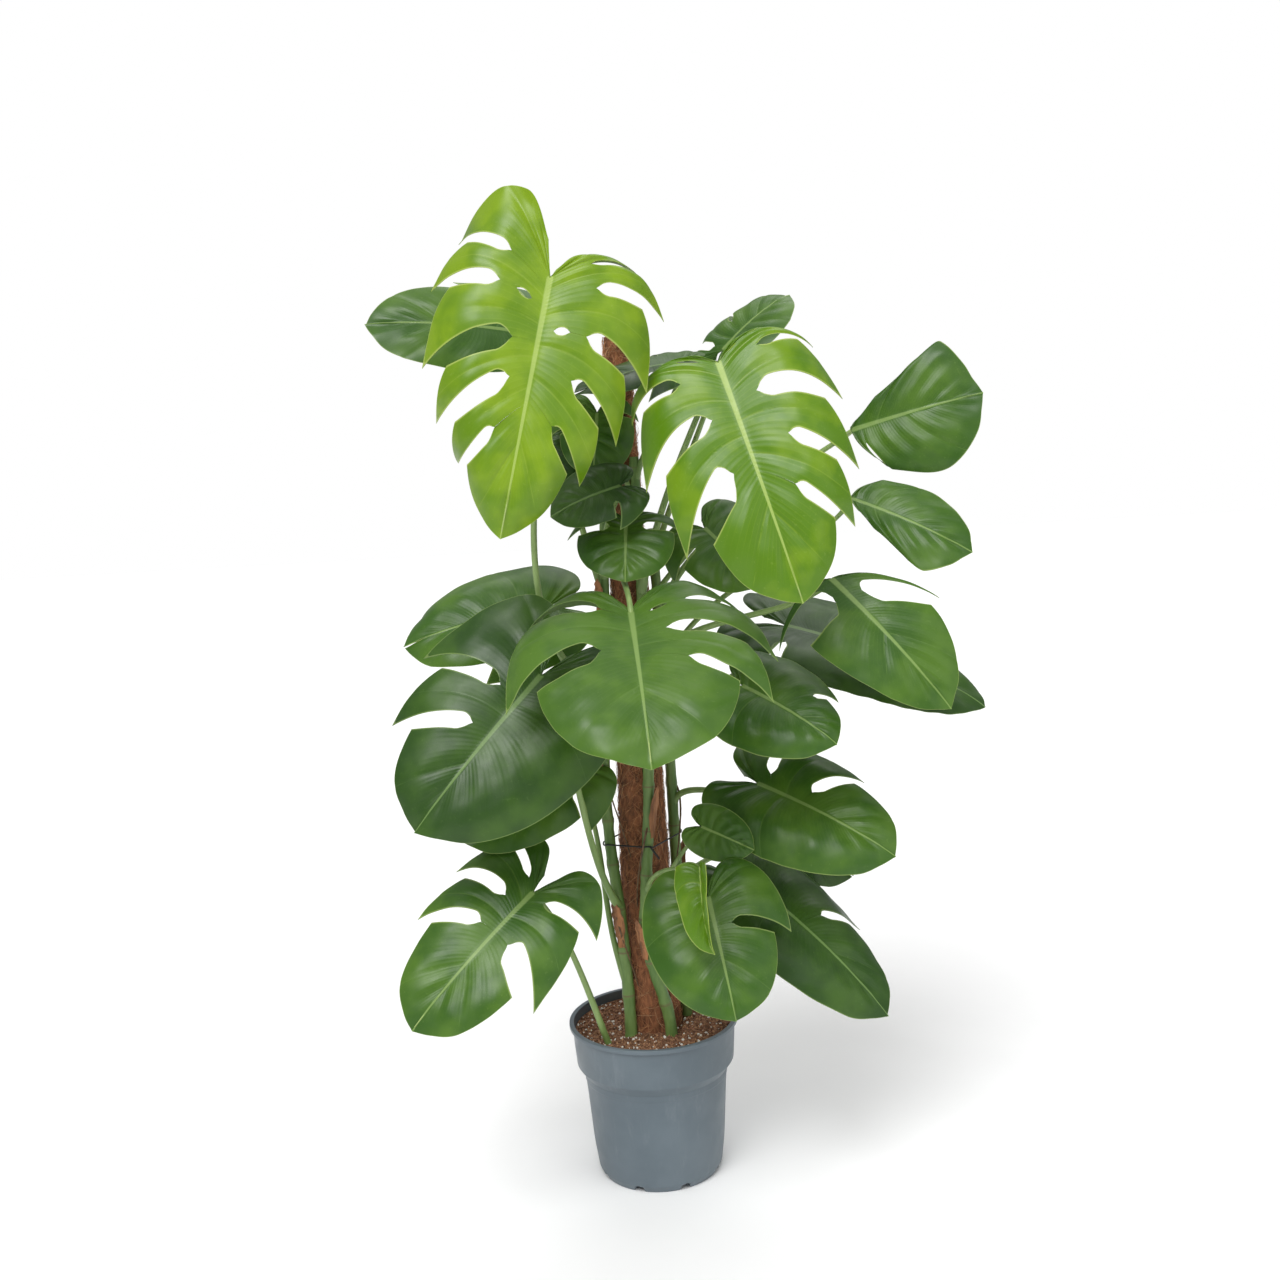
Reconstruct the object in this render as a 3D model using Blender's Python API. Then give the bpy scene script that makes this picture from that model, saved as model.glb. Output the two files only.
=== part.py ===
"""A monstera climbing a coir pole in a round nursery pot.

Units are metres, +Z is up and the front looks along -Y. The origin is the middle of the flat disc under
the pot, on the pole's axis. Bearings are degrees from +X towards +Y, so -90 is the front.
"""

from math import atan2, ceil, cos, hypot, pi, radians, sin

import bmesh
import bpy
import numpy as np
from mathutils import Vector

# Pot
POT_RIM_RADIUS = 0.120
POT_HEIGHT = 0.225
POT_WALL = 0.0022
POT_BASE_RADIUS = 0.089
POT_STEP_RADIUS = 0.102
POT_COLLAR_RADIUS = 0.112
POT_LIP_HEIGHT = 0.006
POT_LIP_REACH = 0.0045
POT_COLLAR_DROP = 0.060
POT_STEP_DROP = 0.074
POT_FOOT_HEIGHT = 0.0035
POT_DISC_RADIUS = 0.050
POT_DRAIN_COUNT = 8
POT_DRAIN_WIDTH = 0.016
POT_DRAIN_HEIGHT = 0.010
POT_SIDES = 36

# Soil
SOIL_DEPTH_BELOW_RIM = 0.013
SOIL_MOUND = 0.004

# Pole
POLE_TOP = 1.180
POLE_FOOT = 0.022
POLE_RADIUS_LOW = 0.0450
POLE_RADIUS_HIGH = 0.0175
STAKE_RADIUS = 0.0110
POLE_SIDES = 18

# Plant
STEM_RADIUS = 0.0085
STEM_TIP_RADIUS = 0.0060
STEM_FOOT = 0.150
STALK_RADIUS = 0.0052
STALK_TIP_RADIUS = 0.0036
BLADE_THICKNESS = 0.0010
CLEARANCE = 0.0003
STEM_SIDES = 8
STALK_SIDES = 6

# Tie wire round the pole and the stems
TIE_WIRE_RADIUS = 0.0011
TIE_HEIGHT = 0.490
TIE_POINTS = 40

# Half of a flat blade's edge, from the stalk round to the tip: share of the blade's length from the
# stalk, and share of its half width from the midrib.
BLADE_EDGE = (
    (-0.13, 0.09), (-0.27, 0.30), (-0.27, 0.60), (-0.10, 0.88), (0.17, 1.00),
    (0.44, 0.95), (0.68, 0.79), (0.87, 0.52), (0.955, 0.22), (1.00, 0.00),
)
MIDRIB_END = 0.80
FAN_SHARE = 0.26
VEIN_BOW = 15.0
LOBE_BLUNT = 0.62
WAIST_START = 0.25
WAIST_LENGTH = 0.80

# How far a cut between two lobes runs, as shares of a vein from the midrib, and its half width as a
# share of the blade's edge: usual, deep, short, wide open and widest.
CUTS = {
    "|": (0.42, 0.020),
    "!": (0.25, 0.030),
    ",": (0.62, 0.016),
    "^": (0.28, 0.050),
    "V": (0.18, 0.085),
}

LOBE_ROWS = (0.0, 0.25, 0.45, 0.72, 1.0)
COLUMN_SHARE = 0.105

# Each stem: name, then height, bearing and gap to the pole at points along it.
STEMS = {
    "stem_left": (
        (0.15, -128, 0.002), (0.25, -130, 0.002), (0.33, -136, 0.003), (0.40, -142, 0.005),
        (0.50, -156, 0.010), (0.60, -163, 0.011), (0.75, -160, 0.008), (0.90, -150, 0.005),
        (1.00, -140, 0.004),
    ),
    "stem_front": (
        (0.15, -62, 0.003), (0.24, -64, 0.003), (0.32, -86, 0.002), (0.37, -95, 0.002),
        (0.45, -88, 0.002), (0.56, -76, 0.003), (0.75, -66, 0.003), (0.90, -62, 0.003),
        (1.02, -60, 0.003),
    ),
    "stem_back": (
        (0.15, 25, 0.004), (0.30, 26, 0.005), (0.50, 24, 0.007), (0.65, 20, 0.008),
        (0.80, 16, 0.006), (0.92, 12, 0.005),
    ),
}


def leaf(stem, node, at, tip, faces, width, left, right, **shape):
    """One leaf: where its stalk leaves the stem, where stalk and blade meet, the blade's tip, the way its
    upper face looks and its width. Left and right list the cuts between lobes, from the stalk to the tip:
    where each meets the edge, in hundredths, and its kind. Curl is how far the lobes turn down, in degrees,
    from the first to the last. Pairs are for the left and the right half: heel stretches what lies behind
    the stalk, waist narrows the blade near it, and sweep slants the lobes towards the tip."""
    usual = {"bend": 25, "fold": 12, "cup": 30, "curl": (5, 40), "curl_right": None, "wave": 0.004,
             "heel": (1.0, 1.0), "waist": (0.0, 0.0), "sweep": (0.0, 0.0), "taper": 0.0,
             "leave": None, "arrive": None, "foot": None}
    return dict(usual, stem=stem, node=node, at=at, tip=tip, faces=faces, width=width,
                left=left, right=right, **shape)


LEAVES = {
    "leaf_01": leaf("stem_left", 0.70, (-0.074, -0.210, 1.244), (-0.149, -0.280, 0.942),
                    (0.1, -1.0, 0.2), 0.30, "28| 40| 52| 62| 73|", "34| 43| 56! 66! 76|",
                    curl=(70, 30, 40, 60), curl_right=(-10, 60, 50, 80), heel=(0.60, 1.15), taper=0.25,
                    leave=(-0.80, -0.35, 0.5)),
    "leaf_02": leaf("stem_front", 0.84, (0.123, -0.190, 1.134), (0.204, -0.290, 0.848),
                    (-0.1, -1.0, 0.3), 0.27, "26, 38| 50! 62| 74|", "42| 54! 69^",
                    curl=(20, 60, 50), curl_right=(20, 60, 30), heel=(0.35, 0.30)),
    "leaf_03": leaf("stem_left", 0.84, (-0.120, -0.010, 1.190), (-0.325, -0.040, 1.210),
                    (-0.2, -0.8, 0.5), 0.16, "45|", "30! 42! 56|", curl=(0, 20)),
    "leaf_04": leaf("stem_front", 0.95, (-0.030, -0.045, 1.080), (-0.040, -0.062, 0.998),
                    (0.1, -1.0, 0.1), 0.12, "40|", "55|"),
    "leaf_05": leaf("stem_front", 0.99, (0.085, -0.055, 1.140), (-0.055, -0.100, 1.105),
                    (-0.25, -0.35, 0.9), 0.14, "40| 60|", "50|", arrive=(0.2, 0.1, 0.95)),
    "leaf_06": leaf("stem_back", 0.88, (0.145, 0.040, 1.155), (0.240, 0.060, 1.225),
                    (-0.3, -0.4, 0.8), 0.16, "35^ 60|", "40^"),
    "leaf_07": leaf("stem_back", 0.80, (0.315, 0.035, 1.037), (0.490, 0.010, 1.078),
                    (0.0, -1.0, 0.3), 0.19, "", "", curl=(0, 10), curl_right=(0, 10),
                    heel=(0.1, 0.1), waist=(0.80, 0.3), sweep=(0.65, 0.30), arrive=(0.3, -1.0, 0.35)),
    "leaf_08": leaf("stem_back", 0.72, (0.300, -0.045, 0.950), (0.445, -0.108, 0.876),
                    (-0.1, -0.8, 0.6), 0.12, "", "", curl=(0, 20),
                    heel=(0.1, 0.1), waist=(0.3, 0.6), sweep=(0.20, 0.55)),
    "leaf_09": leaf("stem_front", 0.72, (0.256, -0.150, 0.858), (0.390, -0.220, 0.696),
                    (0.1, -1.0, 0.5), 0.23, "44V", "42V", curl=(0, 20), curl_right=(10, 30),
                    heel=(0.2, 0.3), sweep=(0.45, 0.10), taper=0.45),
    "leaf_10": leaf("stem_back", 0.62, (0.215, 0.010, 0.775), (0.465, -0.080, 0.665),
                    (0.1, -0.4, 0.9), 0.23, "", "42|"),
    "leaf_11": leaf("stem_front", 0.60, (0.140, -0.120, 0.720), (0.250, -0.200, 0.655),
                    (0.0, -0.7, 0.7), 0.16, "70,", ""),
    "leaf_12": leaf("stem_back", 0.53, (0.160, -0.050, 0.570), (0.330, -0.140, 0.485),
                    (0.0, -0.7, 0.7), 0.19, "40! 62!", ""),
    "leaf_13": leaf("stem_back", 0.40, (0.175, 0.095, 0.470), (0.300, 0.060, 0.395),
                    (0.1, -0.6, 0.8), 0.15, "45|", "40| 60|"),
    "leaf_14": leaf("stem_back", 0.32, (0.150, -0.045, 0.425), (0.315, -0.130, 0.260),
                    (0.3, -0.6, 0.7), 0.17, "62|", ""),
    "leaf_15": leaf("stem_front", 0.32, (0.080, -0.165, 0.452), (0.105, -0.235, 0.310),
                    (0.0, -0.9, 0.5), 0.19, "55!", "", curl=(10, 30)),
    "leaf_16": leaf("stem_front", 0.38, (0.078, -0.105, 0.530), (0.145, -0.125, 0.500),
                    (0.0, -1.0, 0.4), 0.075, "", ""),
    "leaf_17": leaf("stem_left", 0.86, (0.000, -0.190, 0.834), (0.014, -0.370, 0.680),
                    (0.0, -0.6, 0.8), 0.34, "36| 50! 63|", "34^ 58^", curl=(30, 40, 20),
                    curl_right=(50, 40), arrive=(0.0, -0.5, -0.85)),
    "leaf_18": leaf("stem_left", 0.40, (-0.120, -0.140, 0.752), (-0.286, -0.220, 0.576),
                    (-0.1, -1.0, 0.4), 0.27, "", "50! 66!", heel=(1.2, 1.2), curl=(0, 30),
                    leave=(-0.35, -0.75, 0.8)),
    "leaf_19": leaf("stem_left", 0.60, (-0.118, 0.035, 0.816), (-0.316, 0.015, 0.775),
                    (-0.2, -0.7, 0.7), 0.19, "60|", ""),
    "leaf_20": leaf("stem_left", 0.29, (-0.096, -0.032, 0.598), (-0.243, -0.080, 0.520),
                    (-0.1, -0.8, 0.6), 0.16, "45|", "50,"),
    "leaf_21": leaf("soil", 0.17, (-0.150, -0.130, 0.460), (-0.310, -0.220, 0.315),
                    (-0.2, -0.9, 0.5), 0.21, "38! 60^", "30! 46! 60!", curl=(0, 30),
                    foot=(-0.052, -0.052)),
    "leaf_22": leaf("stem_left", 0.90, (-0.005, -0.120, 0.988), (-0.095, -0.140, 0.955),
                    (0.0, -0.70, 0.70), 0.11, "50|", ""),
    "leaf_23": leaf("stem_front", 0.90, (0.000, -0.110, 0.940), (-0.005, -0.165, 0.870),
                    (0.0, -0.8, 0.6), 0.15, "45^", "45^", curl=(30, 30)),
    "leaf_24": leaf("stem_front", 0.80, (0.105, -0.035, 0.920), (0.170, -0.090, 0.845),
                    (-0.2, -0.6, 0.8), 0.15, "50|", "50|"),
    "leaf_25": leaf("stem_front", 0.42, (0.070, -0.222, 0.512), (0.080, -0.250, 0.405),
                    (-0.7, -0.7, 0.0), 0.070, "", "", fold=50, curl=(0, 0), heel=(0.15, 0.15)),
    "leaf_26": leaf("stem_left", 0.985, (-0.092, -0.025, 1.055), (-0.125, -0.047, 0.965),
                    (-0.1, -1.0, 0.3), 0.13, "45|", "45|"),
}


def smooth_points(points, steps):
    """Catmull-Rom curve through the points, with this many steps between neighbours."""
    points = np.array(points, float)
    ends = np.vstack([2 * points[0] - points[1], points, 2 * points[-1] - points[-2]])
    share = np.linspace(0, 1, steps, endpoint=False)[:, None]
    made = []
    for p0, p1, p2, p3 in zip(ends, ends[1:], ends[2:], ends[3:]):
        made.append(0.5 * (2 * p1 + (p2 - p0) * share + (2 * p0 - 5 * p1 + 4 * p2 - p3) * share**2
                           + (3 * p1 - p0 - 3 * p2 + p3) * share**3))
    return np.vstack(made + [points[-1:]])


EDGE = smooth_points(BLADE_EDGE, 40)
EDGE_SHARE = np.concatenate([[0], np.cumsum(np.hypot(*np.diff(EDGE, axis=0).T))])
EDGE_SHARE /= EDGE_SHARE[-1]


def flat_blade(spec, side, s, t):
    """Flat place of the point at share t of the vein that ends at share s of the edge."""
    half = 0 if side > 0 else 1
    edge_a = np.interp(s, EDGE_SHARE, EDGE[:, 0])
    edge_b = np.interp(s, EDGE_SHARE, EDGE[:, 1])
    wide = np.clip((edge_a + WAIST_START) / WAIST_LENGTH, 0, 1)
    edge_b = edge_b * (1 - spec["waist"][half] * (1 - wide * wide * (3 - 2 * wide)))
    edge_a = np.where(edge_a < 0, edge_a * spec["heel"][half], edge_a)
    edge_a = edge_a + spec["sweep"][half] * edge_b * (1 - edge_a)
    edge_b = edge_b * (1 - spec["taper"] * np.clip(edge_a, 0, 1))
    root = MIDRIB_END * np.clip((s - FAN_SHARE) / (1 - FAN_SHARE), 0, 1) ** 1.25
    bow = 0.5 * np.tan(np.radians(VEIN_BOW) * np.sin(pi * s))
    middle_a = (root + edge_a) / 2 - bow * edge_b
    middle_b = edge_b / 2 + bow * (edge_a - root)
    a = (1 - t) ** 2 * root + 2 * t * (1 - t) * middle_a + t**2 * edge_a
    b = 2 * t * (1 - t) * middle_b + t**2 * edge_b
    return a, b


def cut_width(t, kind):
    """Half width of the cut beside a lobe at share t of its vein."""
    if kind not in CUTS:
        return np.zeros_like(t)
    start, width = CUTS[kind]
    x = np.clip((t - start) / (1 - start), 0, 1)
    return width * np.sqrt(np.clip(7 * x, 0, 1)) * (1 - 0.45 * x)


def cut_places(code):
    return [int(word[:-1]) / 100 for word in code.split()]


def column_shares(spec):
    """Shares of the edge where the grid's columns stand, the same on both sides so that the sides meet
    along the midrib: every cut, and others so that no column is wide."""
    cuts = sorted({0.0, 1.0, *cut_places(spec["left"]), *cut_places(spec["right"])})
    shares = [0.0]
    for low, high in zip(cuts, cuts[1:]):
        count = ceil((high - low) / COLUMN_SHARE)
        shares.extend(np.linspace(low, high, count + 1)[1:])
    return np.array(shares)


def lobe_grid(shares, before, after):
    """Shares s and t of a lobe's grid. Beside a cut the lobe's blunt end is round at the back and drawn
    out at the front."""
    rows = np.array(LOBE_ROWS)
    across = ((shares - shares[0]) / (shares[-1] - shares[0]))[None, :]
    start = (shares[0] + cut_width(rows, before))[:, None]
    end = (shares[-1] - cut_width(rows, after))[:, None]
    s = start + (end - start) * across
    round_off = 0.16 * (before in CUTS) * (1 - across) ** 2.2
    draw_out = 0.05 * (after in CUTS) * across**3
    blunt = np.clip((rows - LOBE_BLUNT) / (1 - LOBE_BLUNT), 0, 1)[:, None]
    t = rows[:, None] * (1 + (draw_out - round_off) * blunt)
    return s, t


def arc_table(angles, step):
    """Running sums of cosine and sine of the angles: a curve with these directions."""
    x = np.concatenate([[0], np.cumsum((np.cos(angles[1:]) + np.cos(angles[:-1])) / 2) * step])
    z = np.concatenate([[0], np.cumsum((np.sin(angles[1:]) + np.sin(angles[:-1])) / 2) * step])
    return x, z


class Blade:
    """Maps flat places to the bent blade of one leaf."""

    def __init__(self, spec):
        self.spec = spec
        self.at = np.array(spec["at"])
        chord = np.array(spec["tip"]) - self.at
        along = chord / np.linalg.norm(chord)
        face = np.array(spec["faces"])
        face = face - face @ along * along
        face /= np.linalg.norm(face)
        self.a = np.linspace(-0.5, 1.2, 171)
        self.turn = radians(spec["bend"]) * np.clip(self.a**2 + self.a, 0, None) / 2
        x, z = arc_table(self.turn, self.a[1] - self.a[0])
        x -= np.interp(0, self.a, x)
        z -= np.interp(0, self.a, z)
        end_x = np.interp(1, self.a, x)
        end_z = np.interp(1, self.a, z)
        self.length = np.linalg.norm(chord) / hypot(end_x, end_z)
        self.x = x * self.length
        self.z = -z * self.length
        lift = atan2(end_z, end_x)
        self.along = cos(lift) * along + sin(lift) * face
        self.normal = cos(lift) * face - sin(lift) * along
        self.across = np.cross(self.normal, self.along)
        self.half = spec["width"] / 2
        self.b = np.linspace(0, 1.3, 66)
        lean = radians(spec["fold"]) - radians(spec["cup"]) * self.b
        self.out, self.rise = arc_table(lean, self.b[1] - self.b[0])

    def place(self, s, t, side, curl):
        a, b = flat_blade(self.spec, side, s, t)
        turn = np.interp(a, self.a, self.turn)[..., None]
        normal = np.cos(turn) * self.normal + np.sin(turn) * self.along
        x = np.interp(a, self.a, self.x)[..., None]
        z = np.interp(a, self.a, self.z)[..., None]
        out = side * self.half * np.interp(b, self.b, self.out)[..., None]
        rise = self.half * np.interp(b, self.b, self.rise)[..., None]
        points = self.at + x * self.along + z * self.normal + out * self.across + rise * normal
        # From halfway out each lobe turns down on an arc of its own.
        reach = (np.clip(t - 0.5, 0, None) * self.half)[..., None]
        bow = np.where(abs(curl) < 1e-3, 1e-3, np.radians(curl))[..., None] / (0.5 * self.half)
        next_a, next_b = flat_blade(self.spec, side, s, t + 0.01)
        outward = ((next_a - a) * self.length)[..., None] * self.along
        outward = outward + (side * (next_b - b) * self.half)[..., None] * self.across
        outward /= np.linalg.norm(outward, axis=-1, keepdims=True) + 1e-12
        points -= (reach - np.sin(reach * bow) / bow) * outward
        points -= (1 - np.cos(reach * bow)) / bow * normal
        ripple = self.spec["wave"] * t**2 * np.sin(2 * pi * (3.1 * s + 7 * self.half))
        return points + ripple[..., None] * normal


def side_lobes(spec, side):
    """Grid points of every lobe on one side of a blade."""
    blade = Blade(spec)
    code = spec["left"] if side > 0 else spec["right"]
    bounds = [0.0, *cut_places(code), 1.0]
    kinds = ["", *(word[-1] for word in code.split()), ""]
    curls = spec["curl"] if side > 0 else spec["curl_right"] or spec["curl"]
    spread = np.linspace(0.1, bounds[-2] if code else 0.8, len(curls))
    shares = column_shares(spec)
    for low, high, before, after in zip(bounds, bounds[1:], kinds, kinds[1:]):
        inside = shares[(shares >= low) & (shares <= high)]
        s, t = lobe_grid(inside, before, after)
        curl = np.interp(s, (*spread, 1), (*curls, 0))
        yield blade.place(s, t, side, curl)


def material(name, colour, roughness):
    made = bpy.data.materials.new(name)
    made.use_nodes = True
    shader = made.node_tree.nodes["Principled BSDF"]
    shader.inputs["Base Color"].default_value = (*colour, 1)
    shader.inputs["Roughness"].default_value = roughness
    shader.inputs["Metallic"].default_value = 0
    made.diffuse_color = (*colour, 1)
    return made


def add_object(name, bm, look):
    mesh = bpy.data.meshes.new(name)
    bm.to_mesh(mesh)
    bm.free()
    mesh.materials.append(look)
    mesh.shade_smooth()
    mesh.set_sharp_from_angle(angle=radians(40))
    made = bpy.data.objects.new(name, mesh)
    bpy.context.collection.objects.link(made)
    return made


def cut(target, cutter):
    """Boolean difference that stays on the target; the cutter is a helper."""
    cutter.hide_render = True
    cutter.display_type = "WIRE"
    modifier = target.modifiers.new(cutter.name, "BOOLEAN")
    modifier.operation = "DIFFERENCE"
    modifier.solver = "EXACT"
    modifier.object = cutter
    return target


def grid_faces(bm, grid, flip):
    """Quads over a grid of vertices; where a row collapses to a point they become triangles."""
    for row, above in zip(grid, grid[1:]):
        for a, b, c, d in zip(row, row[1:], above[1:], above):
            corners = (d, c, b, a) if flip else (a, b, c, d)
            bm.faces.new(corners)


def make_blade(name, spec, look):
    bm = bmesh.new()
    for side in (1, -1):
        for points in side_lobes(spec, side):
            grid = [[bm.verts.new(point) for point in row] for row in points]
            grid_faces(bm, grid, side > 0)
    bmesh.ops.remove_doubles(bm, verts=bm.verts, dist=1e-5)
    bmesh.ops.recalc_face_normals(bm, faces=bm.faces)
    made = add_object(name, bm, look)
    solid = made.modifiers.new("thickness", "SOLIDIFY")
    solid.thickness = BLADE_THICKNESS
    solid.offset = 0
    return made


def tube(name, points, radii, sides, look):
    """Round tube along the points with flat ends, its rings carried along without twisting."""
    bm = bmesh.new()
    points = [Vector(point) for point in points]
    axis = (points[1] - points[0]).normalized()
    across = axis.orthogonal().normalized()
    rings = []
    for i, (point, radius) in enumerate(zip(points, map(float, radii))):
        ahead = points[min(i + 1, len(points) - 1)] - points[max(i - 1, 0)]
        turned = axis.rotation_difference(ahead.normalized())
        axis = ahead.normalized()
        across = turned @ across
        up = axis.cross(across)
        angles = [2 * pi * k / sides for k in range(sides)]
        rings.append([bm.verts.new(point + radius * (cos(w) * across + sin(w) * up)) for w in angles])
    for low, high in zip(rings, rings[1:]):
        for k in range(sides):
            n = (k + 1) % sides
            bm.faces.new((low[k], low[n], high[n], high[k]))
    bm.faces.new(list(reversed(rings[0])))
    bm.faces.new(rings[-1])
    return add_object(name, bm, look)


def turned(name, profile, sides, look):
    """Solid of revolution about Z of a closed profile of (radius, height), starting and ending on the axis
    or closing on itself."""
    bm = bmesh.new()
    on_axis = profile[0][0] == 0
    rings = []
    for radius, height in profile:
        if radius == 0:
            rings.append([bm.verts.new((0, 0, height))] * sides)
            continue
        angles = [2 * pi * k / sides for k in range(sides)]
        rings.append([bm.verts.new((radius * cos(w), radius * sin(w), height)) for w in angles])
    if not on_axis:
        rings.append(rings[0])
    for low, high in zip(rings, rings[1:]):
        for k in range(sides):
            n = (k + 1) % sides
            corners = list(dict.fromkeys((low[k], low[n], high[n], high[k])))
            if len(corners) > 2:
                bm.faces.new(corners)
    bmesh.ops.recalc_face_normals(bm, faces=bm.faces)
    return add_object(name, bm, look)


def pole_radius(height):
    share = (height - POLE_FOOT) / (POLE_TOP - POLE_FOOT)
    return POLE_RADIUS_LOW + (POLE_RADIUS_HIGH - POLE_RADIUS_LOW) * share


def stem_radius(height):
    return STEM_RADIUS + (STEM_TIP_RADIUS - STEM_RADIUS) * (height - STEM_FOOT) / (POLE_TOP - STEM_FOOT)


def stem_points(name):
    """Centre line of a stem, which keeps its gap to the pole all the way up."""
    made = []
    for height, bearing, gap in smooth_points(STEMS[name], 3):
        off = pole_radius(height) + stem_radius(height) + gap
        made.append((off * cos(radians(bearing)), off * sin(radians(bearing)), height))
    return np.array(made)


def stem_at(name, height):
    points = stem_points(name)
    return np.array([np.interp(height, points[:, 2], points[:, axis]) for axis in range(3)])


def bezier(p0, p1, p2, p3, count):
    t = np.linspace(0, 1, count)[:, None]
    return (1 - t) ** 3 * p0 + 3 * t * (1 - t) ** 2 * p1 + 3 * t**2 * (1 - t) * p2 + t**3 * p3


def stalk_points(spec):
    """From the stem or the soil, up and outwards, to just behind the blade."""
    if spec["stem"] == "soil":
        start = np.array([*spec["foot"], spec["node"]])
    else:
        start = stem_at(spec["stem"], spec["node"])
    blade = Blade(spec)
    behind = STALK_TIP_RADIUS + BLADE_THICKNESS / 2 + 3 * CLEARANCE
    end = blade.at - behind * blade.normal
    reach = np.linalg.norm(end - start)
    outward = (end - start) * (1, 1, 0)
    outward /= np.linalg.norm(outward) + 1e-9
    arrive = outward * 0.6 + 0.6 * blade.normal + (0, 0, 0.4)
    if spec["arrive"]:
        arrive = np.array(spec["arrive"])
    leave = outward * 0.35 + (0, 0, 0.95)
    if spec["leave"]:
        leave = np.array(spec["leave"])
    return bezier(start, start + leave * reach * 0.35, end - arrive * reach * 0.3, end, 9)


def make_pot(look):
    rim = POT_RIM_RADIUS
    collar_top = rim - POT_LIP_REACH
    wall = POT_WALL
    top = POT_HEIGHT
    foot = POT_FOOT_HEIGHT
    floor = foot + POT_WALL
    base = POT_BASE_RADIUS
    profile = [
        (0, 0), (POT_DISC_RADIUS, 0), (POT_DISC_RADIUS + foot, foot), (base - 0.014, foot),
        (base - 0.0125, 0), (base - 0.005, 0), (base, 0.010), (base + 0.0055, 0.055),
        (POT_STEP_RADIUS, top - POT_STEP_DROP), (POT_COLLAR_RADIUS, top - POT_COLLAR_DROP),
        (collar_top, top - POT_LIP_HEIGHT), (rim, top - POT_LIP_HEIGHT), (rim, top),
        (collar_top - wall, top), (collar_top - wall, top - POT_LIP_HEIGHT),
        (POT_COLLAR_RADIUS - wall, top - POT_COLLAR_DROP), (POT_STEP_RADIUS - wall, top - POT_STEP_DROP),
        (base + 0.0055 - wall, 0.055), (base - 0.0075, 0.015), (base - 0.018, floor), (0, floor),
    ]
    pot = turned("pot", profile, POT_SIDES, look)
    for k in range(POT_DRAIN_COUNT):
        w = 2 * pi * (k + 0.5) / POT_DRAIN_COUNT
        bm = bmesh.new()
        bmesh.ops.create_cube(bm, size=1)
        drain = add_object(f"drain_{k + 1}", bm, look)
        drain.scale = (0.030, POT_DRAIN_WIDTH, 2 * POT_DRAIN_HEIGHT)
        drain.rotation_euler = (0, 0, w)
        drain.location = (base * cos(w), base * sin(w), 0)
        cut(pot, drain)
    return pot


def inner_radius(height):
    """Inside of the pot's wall at a height, straight between the wall's corners."""
    top = POT_HEIGHT
    heights = (0.015, 0.055, top - POT_STEP_DROP, top - POT_COLLAR_DROP, top - POT_LIP_HEIGHT)
    radii = (POT_BASE_RADIUS - 0.0075, POT_BASE_RADIUS + 0.0055 - POT_WALL, POT_STEP_RADIUS - POT_WALL,
             POT_COLLAR_RADIUS - POT_WALL, POT_RIM_RADIUS - POT_LIP_REACH - POT_WALL)
    return float(np.interp(height, heights, radii))


def make_soil(look, plugs):
    """Root ball that fills the pot, mounded a little, with a socket for each piece that stands in it."""
    gap = 3 * CLEARANCE
    low = POT_FOOT_HEIGHT + POT_WALL + CLEARANCE
    top = POT_HEIGHT - SOIL_DEPTH_BELOW_RIM
    step = POT_HEIGHT - POT_STEP_DROP
    collar = POT_HEIGHT - POT_COLLAR_DROP
    profile = [
        (0, low), (POT_BASE_RADIUS - 0.022, low), (inner_radius(0.015) - 0.006, 0.018),
        (inner_radius(0.055) - gap, 0.055), (inner_radius(step) - gap, step),
        (inner_radius(collar) - gap, collar), (inner_radius(top) - gap, top - 0.002),
        (inner_radius(top) - 0.004, top), (0.060, top + SOIL_MOUND * 0.7), (0, top + SOIL_MOUND),
    ]
    soil = turned("soil", profile, POT_SIDES, look)
    for plug in plugs:
        cut(soil, plug)
    return soil


def make_pole(coir_look, stake_look):
    """Coir sleeve on a wooden stake. The sleeve is closed on top and open below."""
    bore = STAKE_RADIUS + CLEARANCE
    closed = 0.012
    profile = [
        (0, POLE_TOP), (POLE_RADIUS_HIGH - 0.004, POLE_TOP), (POLE_RADIUS_HIGH, POLE_TOP - 0.004),
        (pole_radius(0.6), 0.6), (POLE_RADIUS_LOW, POLE_FOOT), (bore, POLE_FOOT),
        (bore, POLE_TOP - closed), (0, POLE_TOP - closed),
    ]
    turned("coir_sleeve", profile, POLE_SIDES, coir_look)
    low = POLE_FOOT - 0.004
    high = POLE_TOP - closed - CLEARANCE
    stake = [(0, low), (STAKE_RADIUS - 0.002, low), (STAKE_RADIUS, low + 0.002),
             (STAKE_RADIUS, high), (0, high)]
    turned("pole_stake", stake, POLE_SIDES, stake_look)


def make_tie(look):
    """Closed loop of wire drawn tight round the pole and the stems. Its point for each bearing belongs to
    whichever of them reaches furthest that way."""
    discs = [(np.zeros(2), pole_radius(TIE_HEIGHT))]
    discs += [(stem_at(name, TIE_HEIGHT)[:2], stem_radius(TIE_HEIGHT)) for name in STEMS]
    bm = bmesh.new()
    rings = []
    for k in range(TIE_POINTS):
        w = 2 * pi * k / TIE_POINTS
        ahead = np.array((cos(w), sin(w)))
        centre, radius = max(discs, key=lambda disc: float(disc[0] @ ahead) + disc[1])
        middle = centre + (radius + TIE_WIRE_RADIUS + 3 * CLEARANCE) * ahead
        ring = []
        for j in range(6):
            out = middle + TIE_WIRE_RADIUS * cos(2 * pi * j / 6) * ahead
            ring.append(bm.verts.new((*out, TIE_HEIGHT + TIE_WIRE_RADIUS * sin(2 * pi * j / 6))))
        rings.append(ring)
    for ring, after in zip(rings, rings[1:] + rings[:1]):
        for j in range(6):
            n = (j + 1) % 6
            bm.faces.new((ring[j], after[j], after[n], ring[n]))
    bmesh.ops.recalc_face_normals(bm, faces=bm.faces)
    return add_object("tie_wire", bm, look)


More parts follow.
